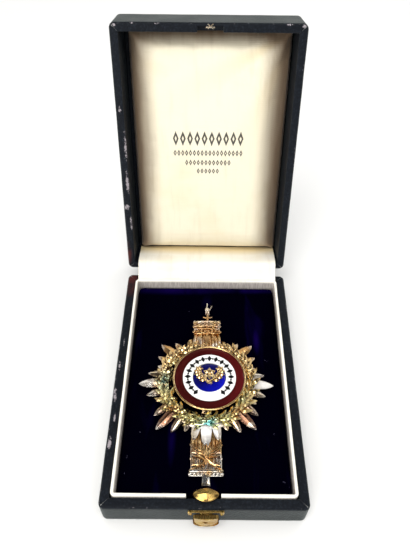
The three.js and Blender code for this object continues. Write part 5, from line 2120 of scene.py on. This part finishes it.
class BADGE_OT_scatter_lint(bpy.types.Operator):
    """Scatter a few threads of lint over the velvet"""

    bl_idname = "badge.scatter_lint"
    bl_label = "Lint"

    def execute(self, context):
        finish = Finish("lint_fibre")
        cloud = finish.noise(finish.place, 500.0)
        finish.surface({
            "Base Color": finish.mix(cloud, (0.30, 0.30, 0.36), (0.10, 0.09, 0.22)),
            "Roughness": finish.span(cloud, 0.3, 0.7, 0.7, 0.9),
        })
        curl = [Vector((part * 0.9 - 0.45, 0.22 * math.sin(part * 5), 0.05 * math.sin(part * 3))) * MM
                for part in arc_steps(5)]
        thread = wires([[(point, 0.022 * MM) for point in curl]], finish.material, sides=4)
        shape = linked("thread", thread)
        low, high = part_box("velvet_pad")
        sheet = bpy.data.meshes.new("lint_area")
        left, right, front, back = low.x + MM, high.x - MM, low.y + MM, high.y - MM
        corners = [(left, front), (right, front), (right, back), (left, back)]
        sheet.from_pydata([(x, y, high.z - 0.1 * MM) for x, y in corners], [], [(0, 1, 2, 3)])
        density = context.scene.badge_sizes.lint_density
        values = {"Shape": shape, "Density": density, "Lift": 0.0, "Seed": 12}
        lint = grown(sheet, "scatter", values, finish.material)
        bpy.data.objects.remove(shape)
        add_piece("lint", lint, finish.material, "velvet", "base", angle=60.0)
        return {"FINISHED"}


# Stage


def world_light(scene):
    """A pale room: bright near the horizon and darker overhead for what metal and gloss reflect."""
    world = bpy.data.worlds.new("studio")
    world.use_nodes = True
    scene.world = world
    nodes = Nodes(world.node_tree)
    nodes.tree.nodes.clear()
    direction = nodes.add("ShaderNodeTexCoord").outputs["Generated"]
    height = nodes.axes(direction)["Z"]
    room = nodes.mix(nodes.span(height, 0.22, 0.74), (1.0, 0.99, 0.97), (0.06, 0.062, 0.07))
    glossy = nodes.add("ShaderNodeLightPath").outputs["Is Glossy Ray"]
    colour_seen = nodes.mix(glossy, (1.0, 0.995, 0.985), room)
    background = nodes.add("ShaderNodeBackground", {"Color": colour_seen, "Strength": 0.95})
    nodes.add("ShaderNodeOutputWorld", {"Surface": background.outputs[0]})


def add_softbox(name, place, target, size, power, tint):
    light = bpy.data.lights.new(name, "AREA")
    light.shape = "RECTANGLE"
    light.size, light.size_y = size
    light.energy = power
    light.color = tint
    softbox = linked(name, light)
    softbox.location = place
    softbox.rotation_euler = (Vector(target) - Vector(place)).to_track_quat("-Z", "Y").to_euler()


def floor_finish():
    finish = Finish("floor_paper")
    cloud = finish.noise(finish.place, 3.0, detail=2.0)
    return finish.surface({
        "Base Color": finish.mix(cloud, (0.83, 0.83, 0.82), (0.795, 0.795, 0.785)),
        "Roughness": finish.span(cloud, 0.2, 0.8, 0.85, 0.95),
    })


CAMERA_PLACE = Vector((-0.0006, -0.1285, 0.2228))
CAMERA_YAW = math.radians(0.02)
CAMERA_PITCH = math.radians(48.14)
CAMERA_ROLL = math.radians(-0.57)
CAMERA_LENS = 35.77


def add_camera(scene):
    """The camera: in front of the box, above it, looking down into it."""
    forward = Vector((
        math.sin(CAMERA_YAW) * math.cos(CAMERA_PITCH),
        math.cos(CAMERA_YAW) * math.cos(CAMERA_PITCH),
        -math.sin(CAMERA_PITCH),
    ))
    level = Vector((math.cos(CAMERA_YAW), -math.sin(CAMERA_YAW), 0))
    down = forward.cross(level)
    right = level * math.cos(CAMERA_ROLL) + down * math.sin(CAMERA_ROLL)
    down = down * math.cos(CAMERA_ROLL) - level * math.sin(CAMERA_ROLL)
    data = bpy.data.cameras.new("camera")
    data.lens = CAMERA_LENS
    data.sensor_width = 36.0
    data.clip_start = 0.01
    camera = linked("camera", data)
    axes = Matrix((right, -down, -forward)).transposed().to_4x4()
    camera.matrix_world = Matrix.Translation(CAMERA_PLACE) @ axes
    scene.camera = camera


class BADGE_OT_set_stage(bpy.types.Operator):
    """Lay the floor, light it softly and place the camera"""

    bl_idname = "badge.set_stage"
    bl_label = "Stage"

    def execute(self, context):
        scene = context.scene
        stage = scene.badge_stage
        half = stage.floor_size / 2
        mesh = bpy.data.meshes.new("floor")
        corners = [(-half, -half, 0), (half, -half, 0), (half, half, 0), (-half, half, 0)]
        mesh.from_pydata([Vector(c) + Vector((0, 0, BASE_LOW.z)) for c in corners], [], [(0, 1, 2, 3)])
        mesh.materials.append(floor_finish())
        floor = linked("floor", mesh)
        world_light(scene)
        middle = Vector((0, 0, 0.02))
        add_softbox("key", (-0.05, -0.22, 0.85), middle, (0.5, 0.32), stage.key_power, (1.0, 0.99, 0.97))
        add_softbox("rim", (0.42, 0.50, 0.72), middle, (0.28, 0.28), stage.rim_power, (0.97, 0.98, 1.0))
        add_softbox("front", (-0.45, -0.75, 0.35), middle, (0.5, 0.5), stage.front_power, (1.0, 0.99, 0.97))
        scene.view_settings.view_transform = "Standard"
        add_camera(scene)
        return {"FINISHED"}


class BADGE_PT_build(bpy.types.Panel):
    """The badge's and the box's pieces, in the order in which they are built"""

    bl_label = "Badge in its box"
    bl_space_type = "VIEW_3D"
    bl_region_type = "UI"
    bl_category = "Badge"

    def draw(self, context):
        layout = self.layout
        for operator in OPERATORS:
            layout.operator(operator.bl_idname)
        for group in SETTING_NAMES:
            settings = getattr(context.scene, group)
            column = layout.column(align=True)
            for name in settings.bl_rna.properties.keys():
                if name not in ("rna_type", "name"):
                    column.prop(settings, name)


SETTINGS = (BadgeBoxSizes, BadgeBoxColours, BadgeSizes, BadgeColours, BadgeStage)
OPERATORS = (
    BADGE_OT_set_stage,
    BADGE_OT_cover_base,
    BADGE_OT_cover_lid,
    BADGE_OT_line_trim,
    BADGE_OT_pad_velvet,
    BADGE_OT_pad_satin,
    BADGE_OT_hang_gusset,
    BADGE_OT_scatter_lint,
    BADGE_OT_cut_rays,
    BADGE_OT_weave_wreath,
    BADGE_OT_bind_upper_fasces,
    BADGE_OT_bind_lower_fasces,
    BADGE_OT_tie_ribbons,
    BADGE_OT_raise_hand,
    BADGE_OT_set_medallion,
    BADGE_OT_inlay_ornaments,
    BADGE_OT_mount_device,
    BADGE_OT_fit_clasp,
    BADGE_OT_finish_frame_nodes,
)


SETTING_NAMES = ("badge_box_sizes", "badge_box_colours", "badge_sizes", "badge_colours", "badge_stage")


def register():
    for item in (*SETTINGS, *OPERATORS, BADGE_PT_build):
        bpy.utils.register_class(item)
    for name, group in zip(SETTING_NAMES, SETTINGS):
        setattr(bpy.types.Scene, name, bpy.props.PointerProperty(type=group))


def unregister():
    for name in SETTING_NAMES:
        delattr(bpy.types.Scene, name)
    for item in (BADGE_PT_build, *reversed(OPERATORS), *reversed(SETTINGS)):
        bpy.utils.unregister_class(item)


def main():
    """Builds everything in order."""
    register()
    for make in (make_wear_group, make_grain_group, make_weave_group, make_speck_group, make_tarnish_group,
                 make_repeat_tree, make_scatter_tree, make_wire_tree):
        make()
    for operator in OPERATORS:
        group, name = operator.bl_idname.split(".")
        getattr(getattr(bpy.ops, group), name)()


if __name__ == "__main__":
    main()
